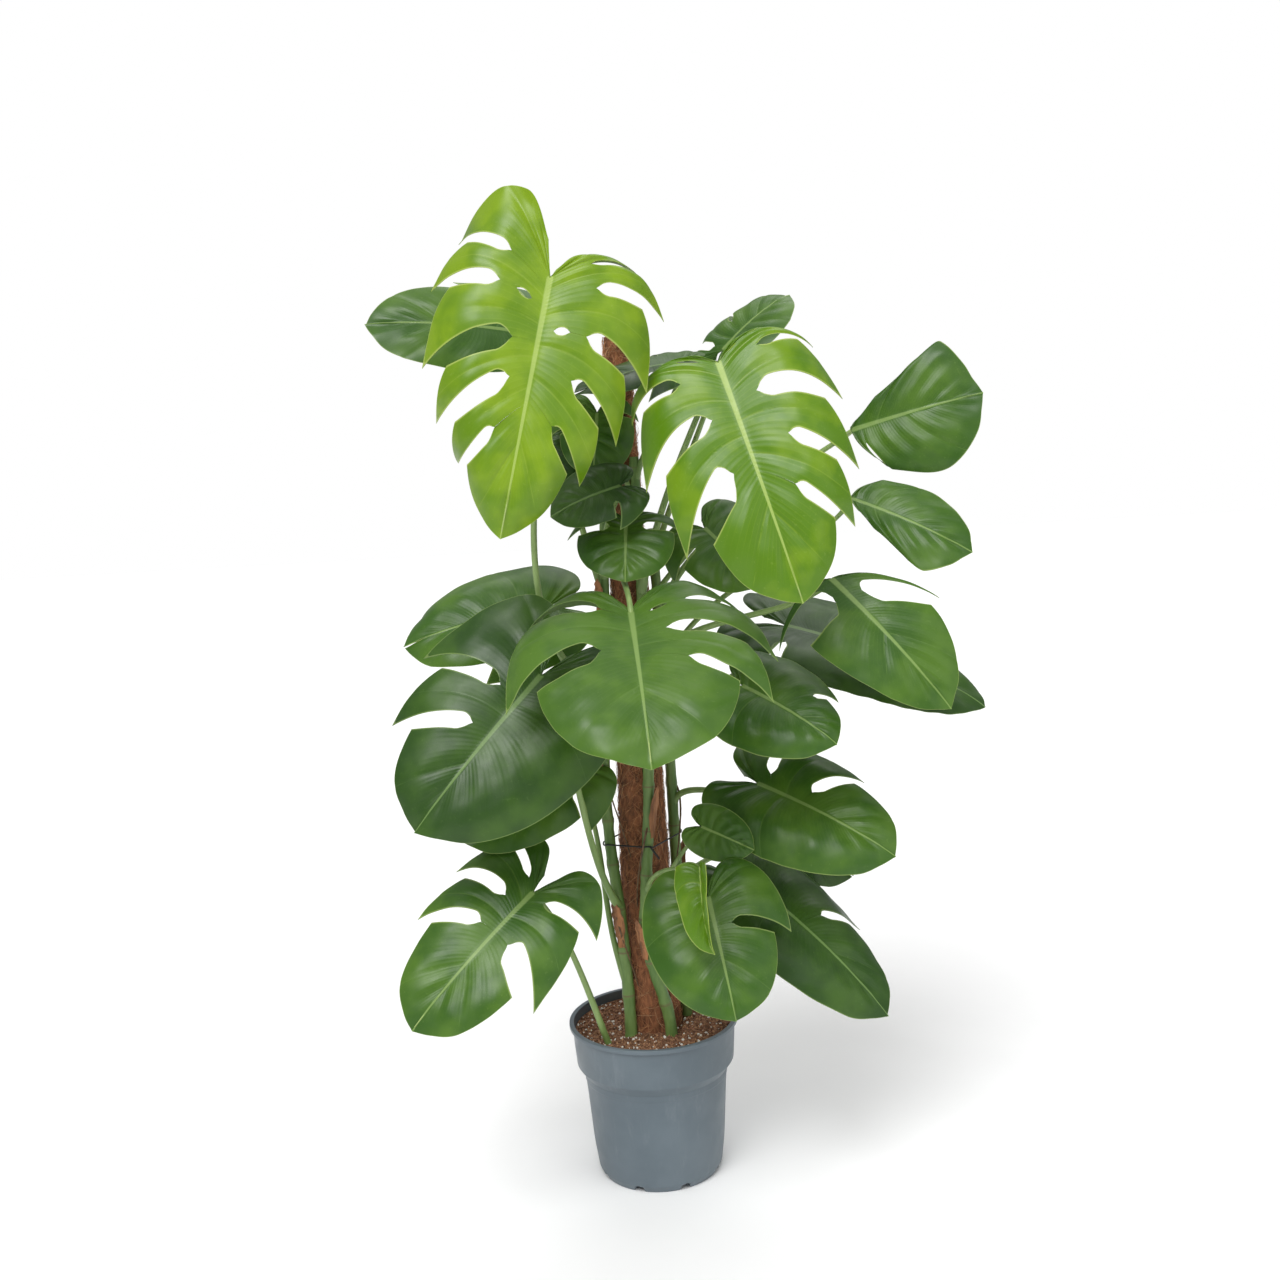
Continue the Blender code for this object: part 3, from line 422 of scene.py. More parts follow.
# One side of a blade, lobe by lobe: a grid of share s across and share t out, its sides drawn in by the
# cuts, its outer end round at the back and drawn out to a point at the front.
def sideLobes(spec, bent, side):
    plan, half = bladePlan, bent["half"]
    code = spec["left"] if side > 0 else spec["right"]
    bounds = [0.0, *cutPlaces(code), 1.0]
    kinds = ["", *(word[-1] for word in code.split()), ""]
    curls = spec["curl"] if side > 0 else spec["curlRight"] or spec["curl"]
    spread = (*linspace(plan["curlFrom"], bounds[-2] if code else plan["curlTo"], len(curls)), 1)
    shares = columnShares(spec)
    rows = linspace(0, 1, plan["rows"])
    for low, high, before, after in zip(bounds, bounds[1:], kinds, kinds[1:]):
        inside = shares[(shares > low - 1e-6) & (shares < high + 1e-6)]
        across = ((inside - low) / (high - low))[None, :]
        cutBefore = cutWidth(rows, before)[:, None]
        cutAfter = cutWidth(rows, after)[:, None]
        start, end = low + cutBefore, high - cutAfter
        s = start + (end - start) * across
        roundOff = plan["backRound"] * isOpen(before) * (1 - across) ** plan["backPower"]
        drawOut = plan["frontHook"] * isOpen(after) * across ** plan["hookPower"]
        blunt = clip((rows - plan["blunt"]) / (1 - plan["blunt"]), 0, 1)[:, None]
        t = rows[:, None] * (1 + (drawOut - roundOff) * blunt)
        points, normal = placeOnBlade(spec, bent, s, t, side, interp(s, spread, (*curls, 0)))
        a, b = flatBlade(spec, side, s, t)
        middle = (low + high) / 2
        veinA, veinB = flatBlade(spec, side, 0 * s + middle, t)
        veinGap = plan["veinScale"] * hypot((a - veinA) * bent["length"], (b - veinB) * half)
        sideGap = np.minimum(where(cutBefore > 0, across, 1), where(cutAfter > 0, 1 - across, 1))
        edgeGap = np.minimum(sideGap * (end - start) * plan["sideScale"], (rows[-1] - rows)[:, None]) * half
        ribHalf = plan["ribHalf"] * clip(1 - a, 0, 1) ** plan["ribTaper"]
        ribHalf = ribHalf * min(1, half / plan["usualHalf"]) + plan["ribEnd"]
        ribGap = where(a > -0.01, b * half / ribHalf, plan["farGap"])
        arched = high - low < plan["archedBelow"]
        height = -plan["lobeArch"] * half * (2 * across - 1) ** 2 * t**2 * arched
        groove = exp(-(veinGap / plan["grooveWidth"]) ** 2)
        height = height - plan["veinGroove"] * groove * clip(8 * t, 0, 1)
        inner = clip(5 * t, 0, 1) * sqrt(clip(1.05 - t, 0, 1))
        pillow = abs(sin(pi * plan["minorVeins"] * (s - middle)))
        height = height + plan["puffHeight"] * spec["quilt"] * pillow * inner
        pleat = cos(2 * pi * plan["pleats"] * (s - middle))
        height = height - plan["pleatHeight"] * pleat * clip(2.5 * t, 0, 1) * clip(1.6 - 1.6 * t, 0, 1)
        height = height + plan["ribHeight"] * exp(-ribGap**2)
        yield points, normal, height, {"veinGap": veinGap, "ribGap": ribGap, "edgeGap": edgeGap,
                                       "share": s + 0.5 * (side < 0), "reach": t + 0 * s,
                                       "tone": spec["tone"] + 0 * s}


def makeBlade(name, spec, looks, seed):
    bent = bladeFrame(spec)
    allPoints, allQuads, allValues, count = [], [], [], 0
    for side in (1, -1):
        for points, normal, height, values in sideLobes(spec, bent, side):
            reach = values["reach"]
            sway = lumps(points, 0.11, seed) * 0.5 + lumps(points, 0.045, seed + 50) * 0.25
            height = height + 1.6 * spec["wave"] * reach ** bladePlan["swayPower"] * sway
            points = points + height[..., None] * normal
            rows, columns = reach.shape
            allPoints.append(points.reshape(-1, 3))
            allQuads.append(gridQuads(rows, columns, flip=side < 0) + count)
            allValues.append({key: value.ravel() for key, value in values.items()})
            count += rows * columns
    values = {key: concatenate([part[key] for part in allValues]) for key in allValues[0]}
    points, faces, values = weld(np.vstack(allPoints), np.vstack(allQuads), values)
    points, upper, under, rim = thicken(points, faces, bladePlan["thickness"])
    values = {key: concatenate([value, value]) for key, value in values.items()}
    return addPiece(name + "_blade", points, [upper, under, [rim]], looks, spec["look"], name, values)


def poleRadius(height):
    share = (height - poleShape["foot"]) / (poleShape["top"] - poleShape["foot"])
    return poleShape["radiusLow"] + (poleShape["radiusHigh"] - poleShape["radiusLow"]) * share


def stemRadius(height):
    share = (height - stemShape["low"]) / (stemShape["high"] - stemShape["low"])
    return stemShape["radiusLow"] + (stemShape["radiusHigh"] - stemShape["radiusLow"]) * share


def stemPath(name, steps=3):
    height, bearing, gap = smoothCurve(stemPlans[name], steps).T
    off = poleRadius(height) + stemRadius(height) + gap
    return polar(off, np.radians(bearing), height)


def stemAt(name, height):
    path = stemPath(name)
    return np.array([interp(height, path[:, 2], path[:, axis]) for axis in range(3)])


# A stalk: a Bezier curve from the stem to the blade, then the midrib under the blade to its tip. It is
# thick where it clasps the stem, swells at the knee below the blade and thins to the tip.
def makeStalk(name, spec, look):
    plan, bent, steps = stalkShape, bladeFrame(spec), stalkShape["steps"]
    inSoil = spec["stem"] == "soil"
    start = np.array([*spec["foot"], spec["node"]]) if inSoil else stemAt(spec["stem"], spec["node"])
    knee = bent["at"] - plan["kneeDrop"] * bent["normal"]
    reach = np.linalg.norm(knee - start)
    outward = unit((knee - start) * (1, 1, 0))
    arrive = np.array(spec["arrive"] or outward * 0.6 + 0.6 * bent["normal"] + (0, 0, 0.4))
    leave = np.array(spec["leave"] or outward * 0.35 + (0, 0, 0.95))
    stalk = bezierCurve(start, start + leave * reach * plan["leaveReach"],
                        knee - arrive * reach * plan["arriveReach"], knee, steps)
    a = linspace(plan["ribFrom"], plan["ribTo"], steps)
    middle, normal = midribAt(bent, a)
    ribRadius = plan["midribRadius"] + (plan["endRadius"] - plan["midribRadius"]) * a ** plan["ribPower"]
    ribRadius *= min(1, bent["half"] / plan["fullHalf"])
    rib = middle - (ribRadius * plan["ribSink"])[:, None] * normal
    path = np.vstack([stalk, rib])
    path[1:-1] = (path[:-2] + 2 * path[1:-1] + path[2:]) / 4
    u = linspace(0, 1, steps)
    scale = min(1, 0.55 + 0.45 * bent["half"] / plan["fullHalf"])
    radii = (plan["radius"] + (plan["tipRadius"] - plan["radius"]) * u) * scale
    base = plan["baseSwell"] * exp(-(u / plan["baseReach"]) ** 2)
    radii *= 1 + base + plan["kneeSwell"] * exp(-((u - plan["kneeAt"]) / plan["kneeReach"]) ** 2)
    values = {"ribShare": concatenate([np.zeros(steps - 2), [0.3, 0.6], np.ones(steps)]),
              "alongShare": concatenate([u, np.ones(steps)])}
    reference = np.cross(outward, (0, 0, 1)) + 0.02
    return addTube(name + "_skin", path, concatenate([radii, ribRadius]), plan["sides"], reference,
                   look, "stalk", name, values)


def clamp(value):
    return min(max(value, 0), 1)


def newLook(name, roughness, specular=0.5):
    look = bpy.data.materials.new(name)
    look.use_nodes = True
    shader = look.node_tree.nodes["Principled BSDF"]
    shader.inputs["Roughness"].default_value = roughness
    shader.inputs["Specular IOR Level"].default_value = specular
    return look, look.node_tree, shader


# A shader node with its inputs set, or linked where the value is another node's output.
def addNode(tree, kind, inputs, **settings):
    node = tree.nodes.new("ShaderNode" + kind)
    for key, value in settings.items():
        setattr(node, key, value)
    for key, value in inputs.items():
        if isinstance(value, bpy.types.NodeSocket):
            tree.links.new(value, node.inputs[key])
        else:
            node.inputs[key].default_value = value
    return node


def noiseOf(tree, scale, detail=3.0, stretch=(1, 1, 1), roughness=0.55):
    coords = addNode(tree, "TexCoord", {})
    mapping = addNode(tree, "Mapping", {"Vector": coords.outputs["Object"], "Scale": stretch})
    inputs = {"Vector": mapping.outputs["Vector"], "Scale": scale, "Detail": detail, "Roughness": roughness}
    return addNode(tree, "TexNoise", inputs).outputs["Fac"]


def attributeOf(tree, name):
    return addNode(tree, "Attribute", {}, attribute_name=name).outputs["Fac"]


# The helpers below find the node tree by a socket that is passed to them.
def rangeOf(value, low, high, toLow=0.0, toHigh=1.0):
    inputs = {"Value": value, "From Min": low, "From Max": high, "To Min": toLow, "To Max": toHigh}
    node = addNode(value.id_data, "MapRange", inputs, interpolation_type="SMOOTHSTEP")
    return node.outputs["Result"]


def mathOf(operation, first, second=0.0):
    return addNode(first.id_data, "Math", {0: first, 1: second}, operation=operation).outputs["Value"]


def times(first, second):
    return mathOf("MULTIPLY", first, second)


# Inputs 6 and 7 and output 2 of the mix node are its colours.
def mixOf(factor, first, second):
    first, second = ((*value, 1) if isinstance(value, tuple) else value for value in (first, second))
    inputs = {"Factor": factor, 6: first, 7: second}
    return addNode(factor.id_data, "Mix", inputs, data_type="RGBA").outputs[2]


# A colour laid over another as far as a share of the mask.
def layOver(colour, mask, share, over):
    return mixOf(times(mask, share), colour, over)


def bumpOf(shader, height, strength, distance):
    inputs = {"Strength": strength, "Distance": distance, "Height": height}
    bump = addNode(height.id_data, "Bump", inputs)
    height.id_data.links.new(bump.outputs["Normal"], shader.inputs["Normal"])


# Side veins is a count and specks a noise scale, shares say how far a colour is laid over, the rest is in
# metres.
leafSurface = {"sideVeins": 58, "sideShare": 0.13, "veinRoot": 0.0017, "veinTip": 0.0007, "ribShare": 0.72,
               "marginOut": 0.0013, "marginIn": 0.0003, "marginShare": 0.55, "specks": 260,
               "speckShare": 0.12, "bump": 0.1, "bumpHeight": 0.0005}


# Upper face of a leaf: two greens in soft patches, pale main veins, faint side veins, a light margin, and a
# gloss that varies in patches.
def leafLook(name, plan):
    look, tree, shader = newLook(name, 0.35, 0.36)
    patches = rangeOf(noiseOf(tree, 14), 0.35, 0.68)
    patches = mathOf("ADD", patches, attributeOf(tree, "tone"))
    colour = mixOf(patches, plan["deep"], plan["light"])
    share = attributeOf(tree, "share")
    reach = attributeOf(tree, "reach")
    ripple = mathOf("SINE", times(share, 2 * pi * leafSurface["sideVeins"]))
    inner = rangeOf(reach, 0.95, 0.2)
    sideVeins = times(rangeOf(ripple, 0.8, 1.0), inner)
    colour = layOver(colour, sideVeins, leafSurface["sideShare"], plan["vein"])
    veinWidth = rangeOf(reach, 0.0, 1.0, leafSurface["veinRoot"], leafSurface["veinTip"])
    veins = rangeOf(mathOf("DIVIDE", attributeOf(tree, "veinGap"), veinWidth), 1.0, 0.35)
    colour = layOver(colour, veins, plan["veinStrength"], plan["vein"])
    rib = rangeOf(attributeOf(tree, "ribGap"), 1.25, 0.65)
    colour = layOver(colour, rib, leafSurface["ribShare"], plan["rib"])
    edge = rangeOf(attributeOf(tree, "edgeGap"), leafSurface["marginOut"], leafSurface["marginIn"])
    colour = layOver(colour, edge, leafSurface["marginShare"], plan["margin"])
    specks = rangeOf(noiseOf(tree, leafSurface["specks"], 2), 0.62, 0.78)
    colour = layOver(colour, specks, leafSurface["speckShare"], plan["rib"])
    tree.links.new(colour, shader.inputs["Base Color"])
    gloss = rangeOf(noiseOf(tree, 30, 4), 0.3, 0.7, plan["gloss"][0], plan["gloss"][1])
    tree.links.new(gloss, shader.inputs["Roughness"])
    height = times(ripple, inner)
    height = mathOf("ADD", height, noiseOf(tree, 60, 2))
    height = mathOf("SUBTRACT", height, times(veins, 2.0))
    bumpOf(shader, height, leafSurface["bump"], leafSurface["bumpHeight"])
    return look


# Underside of a leaf: paler and duller, with the veins standing out.
def undersideLook(name, plan):
    look, tree, shader = newLook(name, 0.55, 0.35)
    patches = rangeOf(noiseOf(tree, 18), 0.3, 0.7)
    colour = mixOf(patches, plan["under"], tuple(0.85 * value for value in plan["under"]))
    veins = rangeOf(attributeOf(tree, "veinGap"), 0.0016, 0.0004)
    colour = layOver(colour, veins, 0.6, plan["rib"])
    tree.links.new(colour, shader.inputs["Base Color"])
    bumpOf(shader, veins, 0.6, 0.001)
    return look


def plainLook(name, colour, roughness, variation, scale, bump=0.0, distance=0.001, stretch=(1, 1, 1)):
    look, tree, shader = newLook(name, roughness)
    noise = noiseOf(tree, scale, 5, stretch, 0.65)
    darker = tuple(value * (1 - variation) for value in colour)
    lighter = tuple(clamp(value * (1 + variation)) for value in colour)
    mixed = mixOf(rangeOf(noise, 0.3, 0.7), darker, lighter)
    tree.links.new(mixed, shader.inputs["Base Color"])
    if bump:
        bumpOf(shader, noise, bump, distance)
    return look


# Colours are linear. Gloss is the roughness at the shiniest and the dullest patches.
leafFinishes = {
    "leaf_lime": {"deep": (0.088, 0.2, 0.003), "light": (0.195, 0.325, 0.007), "vein": (0.28, 0.4, 0.04),
                  "rib": (0.4, 0.53, 0.13), "margin": (0.5, 0.58, 0.16), "under": (0.17, 0.27, 0.05),
                  "veinStrength": 0.25, "gloss": (0.3, 0.42)},
    "leaf_green": {"deep": (0.033, 0.098, 0.007), "light": (0.074, 0.162, 0.014), "vein": (0.12, 0.22, 0.04),
                   "rib": (0.24, 0.36, 0.1), "margin": (0.34, 0.44, 0.13), "under": (0.12, 0.2, 0.06),
                   "veinStrength": 0.32, "gloss": (0.32, 0.46)},
    "leaf_dark": {"deep": (0.019, 0.06, 0.005), "light": (0.043, 0.104, 0.01), "vein": (0.07, 0.14, 0.03),
                  "rib": (0.17, 0.28, 0.08), "margin": (0.24, 0.34, 0.1), "under": (0.1, 0.16, 0.06),
                  "veinStrength": 0.34, "gloss": (0.32, 0.46)},
}


def stalkLook():
    look, tree, shader = newLook("stalk", 0.42)
    streaks = rangeOf(noiseOf(tree, 60, 4, (1, 1, 0.12)), 0.3, 0.7)
    colour = mixOf(streaks, (0.17, 0.275, 0.072), (0.275, 0.395, 0.13))
    low = rangeOf(attributeOf(tree, "alongShare"), 0.25, 0.0)
    colour = layOver(colour, low, 0.5, (0.12, 0.205, 0.055))
    colour = mixOf(attributeOf(tree, "ribShare"), colour, (0.36, 0.47, 0.15))
    tree.links.new(colour, shader.inputs["Base Color"])
    bumpOf(shader, streaks, 0.25, 0.0006)
    return look


print("making leaves")
uppers = {name: leafLook(name, plan) for name, plan in leafFinishes.items()}
unders = {name: undersideLook(name + "_under", plan) for name, plan in leafFinishes.items()}
rims = {name: plainLook(name + "_rim", plan["vein"], 0.5, 0.1, 40) for name, plan in leafFinishes.items()}
stalkFinish = stalkLook()
for seed, (name, spec) in enumerate(leafPlans.items()):
    looks = [uppers[spec["look"]], unders[spec["look"]], rims[spec["look"]]]
    makeBlade(name, spec, looks, seed)
    makeStalk(name.replace("leaf", "stalk"), spec, stalkFinish)


# Stems: swollen at each joint, with a brown leaf scar ring there and small bumps all over.
def stemLook():
    look, tree, shader = newLook("stem", 0.5)
    streaks = rangeOf(noiseOf(tree, 70, 4, (1, 1, 0.2)), 0.3, 0.7)
    colour = mixOf(streaks, (0.085, 0.17, 0.035), (0.175, 0.275, 0.075))
    scars = rangeOf(attributeOf(tree, "scar"), 0.8, 0.98)
    colour = layOver(colour, scars, 0.8, (0.15, 0.1, 0.045))
    tree.links.new(colour, shader.inputs["Base Color"])
    bumpOf(shader, noiseOf(tree, 300, 4), 0.4, 0.0008)
    return look


stemFinish = stemLook()
for seed, name in enumerate(stemPlans):
    path = stemPath(name, 24)
    away = (path[:, 2] - stemShape["low"] + stemShape["offset"] * seed) / stemShape["nodeSpacing"]
    joint = exp(-((away - np.round(away)) / stemShape["nodeReach"]) ** 2)
    radii = stemRadius(path[:, 2]) * (1 + stemShape["nodeSwell"] * joint)
    addTube(name + "_skin", path, radii, stemShape["sides"], (1.0, 0.02, 0.0), stemFinish, "stem", name,
            {"scar": joint}, lambda points: stemShape["bump"] * lumps(points, 0.012, 3))

# Dried sheaths still clasping the stems: stem, foot height, length, and how far round from facing outwards.
sheathPlans = (("stem_front", 0.502, 0.075, 35), ("stem_front", 0.33, 0.06, -40),
               ("stem_front", 0.64, 0.07, 20), ("stem_left", 0.345, 0.07, 30),
               ("stem_left", 0.53, 0.075, -30), ("stem_left", 0.8, 0.06, 25),
               ("stem_back", 0.405, 0.07, 20), ("stem_back", 0.61, 0.065, -25))
sheathShape = {"rows": 24, "columns": 15, "halfAngle": 40, "gap": 0.0006, "peel": 0.007, "flare": 0.0012,
               "crinkle": 0.001, "crinkleSize": 0.01, "thickness": 0.0004}

# Air roots: stem, height where they start, how far they drop and how far they go round the pole.
rootPlans = (("stem_left", 0.62, 0.15, 40), ("stem_left", 0.405, 0.12, 24),
             ("stem_front", 0.52, 0.12, -32), ("stem_front", 0.73, 0.14, 30),
             ("stem_back", 0.56, 0.15, -30), ("stem_back", 0.33, 0.1, 28))
rootShape = {"radius": 0.0017, "tipRadius": 0.0008, "bow": 0.014, "points": 48, "sides": 8}


# A sheath: a sliver of a tube round the stem, narrow at both ends, that peels away towards its top.
def makeSheath(name, stem, foot, length, turn, look):
    plan = sheathShape
    u = linspace(0, 1, plan["rows"])[:, None]
    w = linspace(-1, 1, plan["columns"])[None]
    height = foot + length * u
    centre = stemAt(stem, height[:, 0]).T
    outward = np.arctan2(centre[:, 1], centre[:, 0])[:, None] + math.radians(turn)
    bearing = outward + w * math.radians(plan["halfAngle"]) * sin(pi * (0.1 + 0.9 * u)) ** 0.8
    radius = stemRadius(height) * (1 + stemShape["nodeSwell"]) + plan["gap"]
    radius = radius + plan["peel"] * u**2 + plan["flare"] * abs(w) ** 3
    points = centre[:, None] + polar(radius, bearing, 0)
    points = points + plan["crinkle"] * lumps(points, plan["crinkleSize"], 41)[..., None] * (1, 1, 0)
    points, faces, _ = weld(points.reshape(-1, 3), gridQuads(*bearing.shape), {})
    points, upper, under, rim = thicken(points, faces, plan["thickness"])
    return addPiece(name, points, [upper, under, [rim]], [look] * 3, "stem")


# An air root: a Bezier curve out from the stem, down and back to the pole.
def makeRoot(name, stem, height, drop, turn, look):
    start = stemAt(stem, height)
    outward = unit(start * (1, 1, 0))
    low = height - drop
    bearing = math.atan2(start[1], start[0]) + math.radians(turn)
    end = poleRadius(low) * np.array([math.cos(bearing), math.sin(bearing), 0]) + (0, 0, low)
    away = rootShape["bow"] * unit(outward + unit(end * (1, 1, 0)))
    path = bezierCurve(start, start + away * 1.6, end + away + (0, 0, drop * 0.4), end, rootShape["points"])
    radii = linspace(rootShape["radius"], rootShape["tipRadius"], rootShape["points"])
    return addTube(name, path, radii, rootShape["sides"], (0.1, 0.2, 1.0), look, "stem",
                   relief=lambda points: 0.15 * lumps(points, 0.007, 7))


sheathFinish = plainLook("sheath", (0.29, 0.125, 0.052), 0.75, 0.6, 110, 0.8, 0.0012, (1, 1, 0.12))
rootFinish = plainLook("airRoot", (0.15, 0.095, 0.05), 0.85, 0.4, 120, 0.5, 0.0008)
for number, plan in enumerate(sheathPlans, 1):
    makeSheath(f"sheath_{number}", *plan, sheathFinish)
for number, plan in enumerate(rootPlans, 1):
    makeRoot(f"air_root_{number}", *plan, rootFinish)
print("stems done")

# The pot: a turned wall with a lip, a collar and a step, and arched drain notches in its foot.
potPlan = {"rim": 0.12, "height": 0.225, "wall": 0.0022, "base": 0.089, "step": 0.102, "collar": 0.112,
           "lipHeight": 0.006, "lipReach": 0.0045, "collarDrop": 0.06, "stepDrop": 0.074,
           "foot": 0.0035, "disc": 0.05, "drains": 8, "drainWidth": 0.016, "drainHeight": 0.01,
           "sides": 512, "corner": 0.0012, "flare": ((0, 0.01), (0.004, 0.04), (0.0055, 0.055),
                                                     (0.0072, 0.08), (0.0103, 0.125)),
           "waistReach": 0.0055, "waistHeight": 0.055, "toeReach": 0.0075, "toeHeight": 0.015}


# A profile with each corner replaced by a short curve: a quadratic from a little before to a little after it.
def roundedProfile(points, radius, steps=5):
    points = np.array(points, float)
    before, corner, after = points[:-2], points[1:-1], points[2:]
    back = np.linalg.norm(corner - before, axis=1)
    ahead = np.linalg.norm(after - corner, axis=1)
    start = corner + (before - corner) * np.minimum(0.4, radius / back)[:, None]
    end = corner + (after - corner) * np.minimum(0.4, radius / ahead)[:, None]
    u = linspace(0, 1, steps)[None, :, None]
    curve = (1 - u) ** 2 * start[:, None] + 2 * u * (1 - u) * corner[:, None] + u**2 * end[:, None]
    return np.vstack([points[:1], curve.reshape(-1, 2), points[-1:]])


def makePot(plan, look):
    rim, top, wall, base = plan["rim"], plan["height"], plan["wall"], plan["base"]
    inside = rim - plan["lipReach"] - wall
    lip = top - plan["lipHeight"]
    collar = top - plan["collarDrop"]
    step = top - plan["stepDrop"]
    floor = plan["foot"] + wall
    profile = [
        (0, 0), (plan["disc"], 0), (plan["disc"] + plan["foot"], plan["foot"]), (base - 0.014, plan["foot"]),
        (base - 0.0125, 0), (base - 0.005, 0), *((base + reach, up) for reach, up in plan["flare"]),
        (plan["step"] - 0.0012, step - 0.01),
        (plan["step"] - 0.0004, step - 0.0088), (plan["step"], step), (plan["collar"], collar),
        (inside + wall - 0.0012, top - 0.03), (inside + wall, lip), (rim, lip), (rim, top), (inside, top),
        (inside, lip), (plan["collar"] - wall, collar), (plan["step"] - wall, step),
        (base + plan["waistReach"] - wall, plan["waistHeight"]), (base - plan["toeReach"], plan["toeHeight"]),
        (base - 0.018, floor), (0, floor)]
    radius, height = roundedProfile(profile, plan["corner"]).T
    w = fullTurn(plan["sides"])
    spacing = 2 * pi / plan["drains"]
    aside = (np.mod(w, spacing) - spacing / 2) * base / (plan["drainWidth"] / 2)
    arch = plan["drainHeight"] * sqrt(clip(1 - aside**2, 0, 1))
    outer = (radius > base - 0.013)[:, None]
    points = polar(radius[:, None], w, height[:, None])
    points[..., 2] = np.maximum(points[..., 2], where(outer, arch, 0))
    return addGrid("pot_shell", points, look, "pot", "pot", sharp=30)


def potLook():
    look, tree, shader = newLook("pot", 0.42, 0.45)
    tone = rangeOf(noiseOf(tree, 9, 4), 0.3, 0.7)
    colour = mixOf(tone, (0.098, 0.128, 0.15), (0.128, 0.162, 0.186))
    dust = rangeOf(noiseOf(tree, 55, 6, (1, 1, 0.25), 0.7), 0.52, 0.78)
    colour = layOver(colour, dust, 0.22, (0.26, 0.29, 0.31))
    tree.links.new(colour, shader.inputs["Base Color"])
    gloss = rangeOf(noiseOf(tree, 24, 5), 0.3, 0.7, 0.36, 0.5)
    tree.links.new(gloss, shader.inputs["Roughness"])
    bumpOf(shader, noiseOf(tree, 420, 3), 0.12, 0.0004)
    return look


makePot(potPlan, potLook())
print("pot done")

# The soil: a lumpy top that meets the wall, over a plain root ball inside the pot.
soilPlan = {"below": 0.013, "mound": 0.004, "rings": 90, "sides": 220, "lump": 0.0022,
            "topGap": 0.0009, "wallGap": 0.0012, "footIn": 0.022, "footHeights": (0.018, 0.0065, 0.0062),
            "grains": 230, "crumbs": 1700, "fibres": 620, "fibreReach": 0.108, "fibreEnd": 0.111}


def innerRadius(height):
    plan = potPlan
    base, top, wall = plan["base"], plan["height"], plan["wall"]
    heights = (plan["toeHeight"], plan["waistHeight"], top - plan["stepDrop"], top - plan["collarDrop"],
               top - plan["lipHeight"])
    radii = (base - plan["toeReach"], base + plan["waistReach"] - wall, plan["step"] - wall,
             plan["collar"] - wall, plan["rim"] - plan["lipReach"] - wall)
    return interp(height, heights, radii)


def soilHeight(x, y):
    top = potPlan["height"] - soilPlan["below"]
    points = stack([x, y, 0 * x], axis=-1)
    away = hypot(x, y) / innerRadius(top)
    rough = 0.6 * lumps(points, 0.018, 1) + 0.4 * lumps(points, 0.007, 2, 14)
    inside = clip(5 * (1.02 - away), 0, 1)
    return top + soilPlan["mound"] * (1 - away**2) + soilPlan["lump"] * rough * inside


def onSoil(x, y, lift=0):
    return stack([x, y, soilHeight(x, y) + lift], axis=-1)


def makeSoil(look):
    top = potPlan["height"] - soilPlan["below"]
    w = fullTurn(soilPlan["sides"])
    share = linspace(0, 1, soilPlan["rings"]) ** 0.8
    radius = share[:, None] * (innerRadius(top) - soilPlan["topGap"])
    upper = onSoil(radius * cos(w), radius * sin(w))
    heights = np.array([top - 0.006, potPlan["height"] - potPlan["collarDrop"],
                        potPlan["height"] - potPlan["stepDrop"], potPlan["waistHeight"],
                        *soilPlan["footHeights"]])
    radii = innerRadius(heights[:5]) - soilPlan["wallGap"]
    radii = np.append(radii, [potPlan["base"] - soilPlan["footIn"], 0])
    radii[4] -= 0.006
    points = np.vstack([upper, polar(radii[:, None], w, heights[:, None])])
    return addGrid("soil_ball", points, look, "soil", "soil")


# A small lump many times over: a coarse ball, stretched and turned at random, each set on the soil.
def scatterLumps(name, count, sizes, sink, look, seed):
    rng = np.random.default_rng(seed)
    rows, columns = 5, 7
    v = linspace(0, pi, rows)[:, None]
    w = fullTurn(columns - 1)
    ball = polar(sin(v), w, cos(v)).reshape(-1, 3)
    away = sqrt(rng.uniform(0.14, 0.97, count)) * (innerRadius(0.21) - 0.002)
    bearing = rng.uniform(0, 2 * pi, count)
    size = rng.uniform(*sizes, (count, 1, 1)) * rng.uniform(0.55, 1.0, (count, 1, 3))
    bent = ball[None] * size * (1 + 0.25 * sin(ball[None] * 3 + rng.uniform(0, 6, (count, 1, 3))))
    turned = np.linalg.qr(rng.normal(size=(count, 3, 3)))[0]
    turned *= np.sign(np.linalg.det(turned))[:, None, None]
    place = onSoil(away * cos(bearing), away * sin(bearing), sink * size[:, 0, 0])
    points = (bent @ turned + place[:, None]).reshape(count, rows, columns, 3)
    return addGrid(name, points, look, "soil", flip=True)


# Loose fibres: short wandering tubes with three sides, all made at once.
def looseFibres(name, paths, radius, look, slot):
    count, steps = paths.shape[:2]
    rng = np.random.default_rng(count)
    reference = unit(rng.normal(size=(count, 1, 3)))
    taper = sin(linspace(0, pi, steps)) ** 0.5
    points = tubePoints(paths, radius * taper[None, :] * rng.uniform(0.6, 1.3, (count, 1)), 3, reference)
    return addGrid(name, points, look, slot, flip=True)


def soilFibrePaths(count, seed):
    rng = np.random.default_rng(seed)
    away = sqrt(rng.uniform(0.16, 0.9, (count, 1))) * soilPlan["fibreReach"]
    bearing = rng.uniform(0, 2 * pi, (count, 1))
    heading = rng.uniform(0, 2 * pi, (count, 1))
    heading = heading + linspace(-1, 1, 8)[None] * rng.uniform(-1.2, 1.2, (count, 1))
    step = rng.uniform(0.001, 0.0026, (count, 1))
    x = away * cos(bearing) + np.cumsum(step * cos(heading), axis=1)
    y = away * sin(bearing) + np.cumsum(step * sin(heading), axis=1)
    far = np.maximum(hypot(x, y) / soilPlan["fibreEnd"], 1)
    x, y = x / far, y / far
    lift = 0.0006 + 0.002 * sin(linspace(0, pi, 8))[None] * rng.uniform(0, 1, (count, 1))
    return onSoil(x, y, lift)


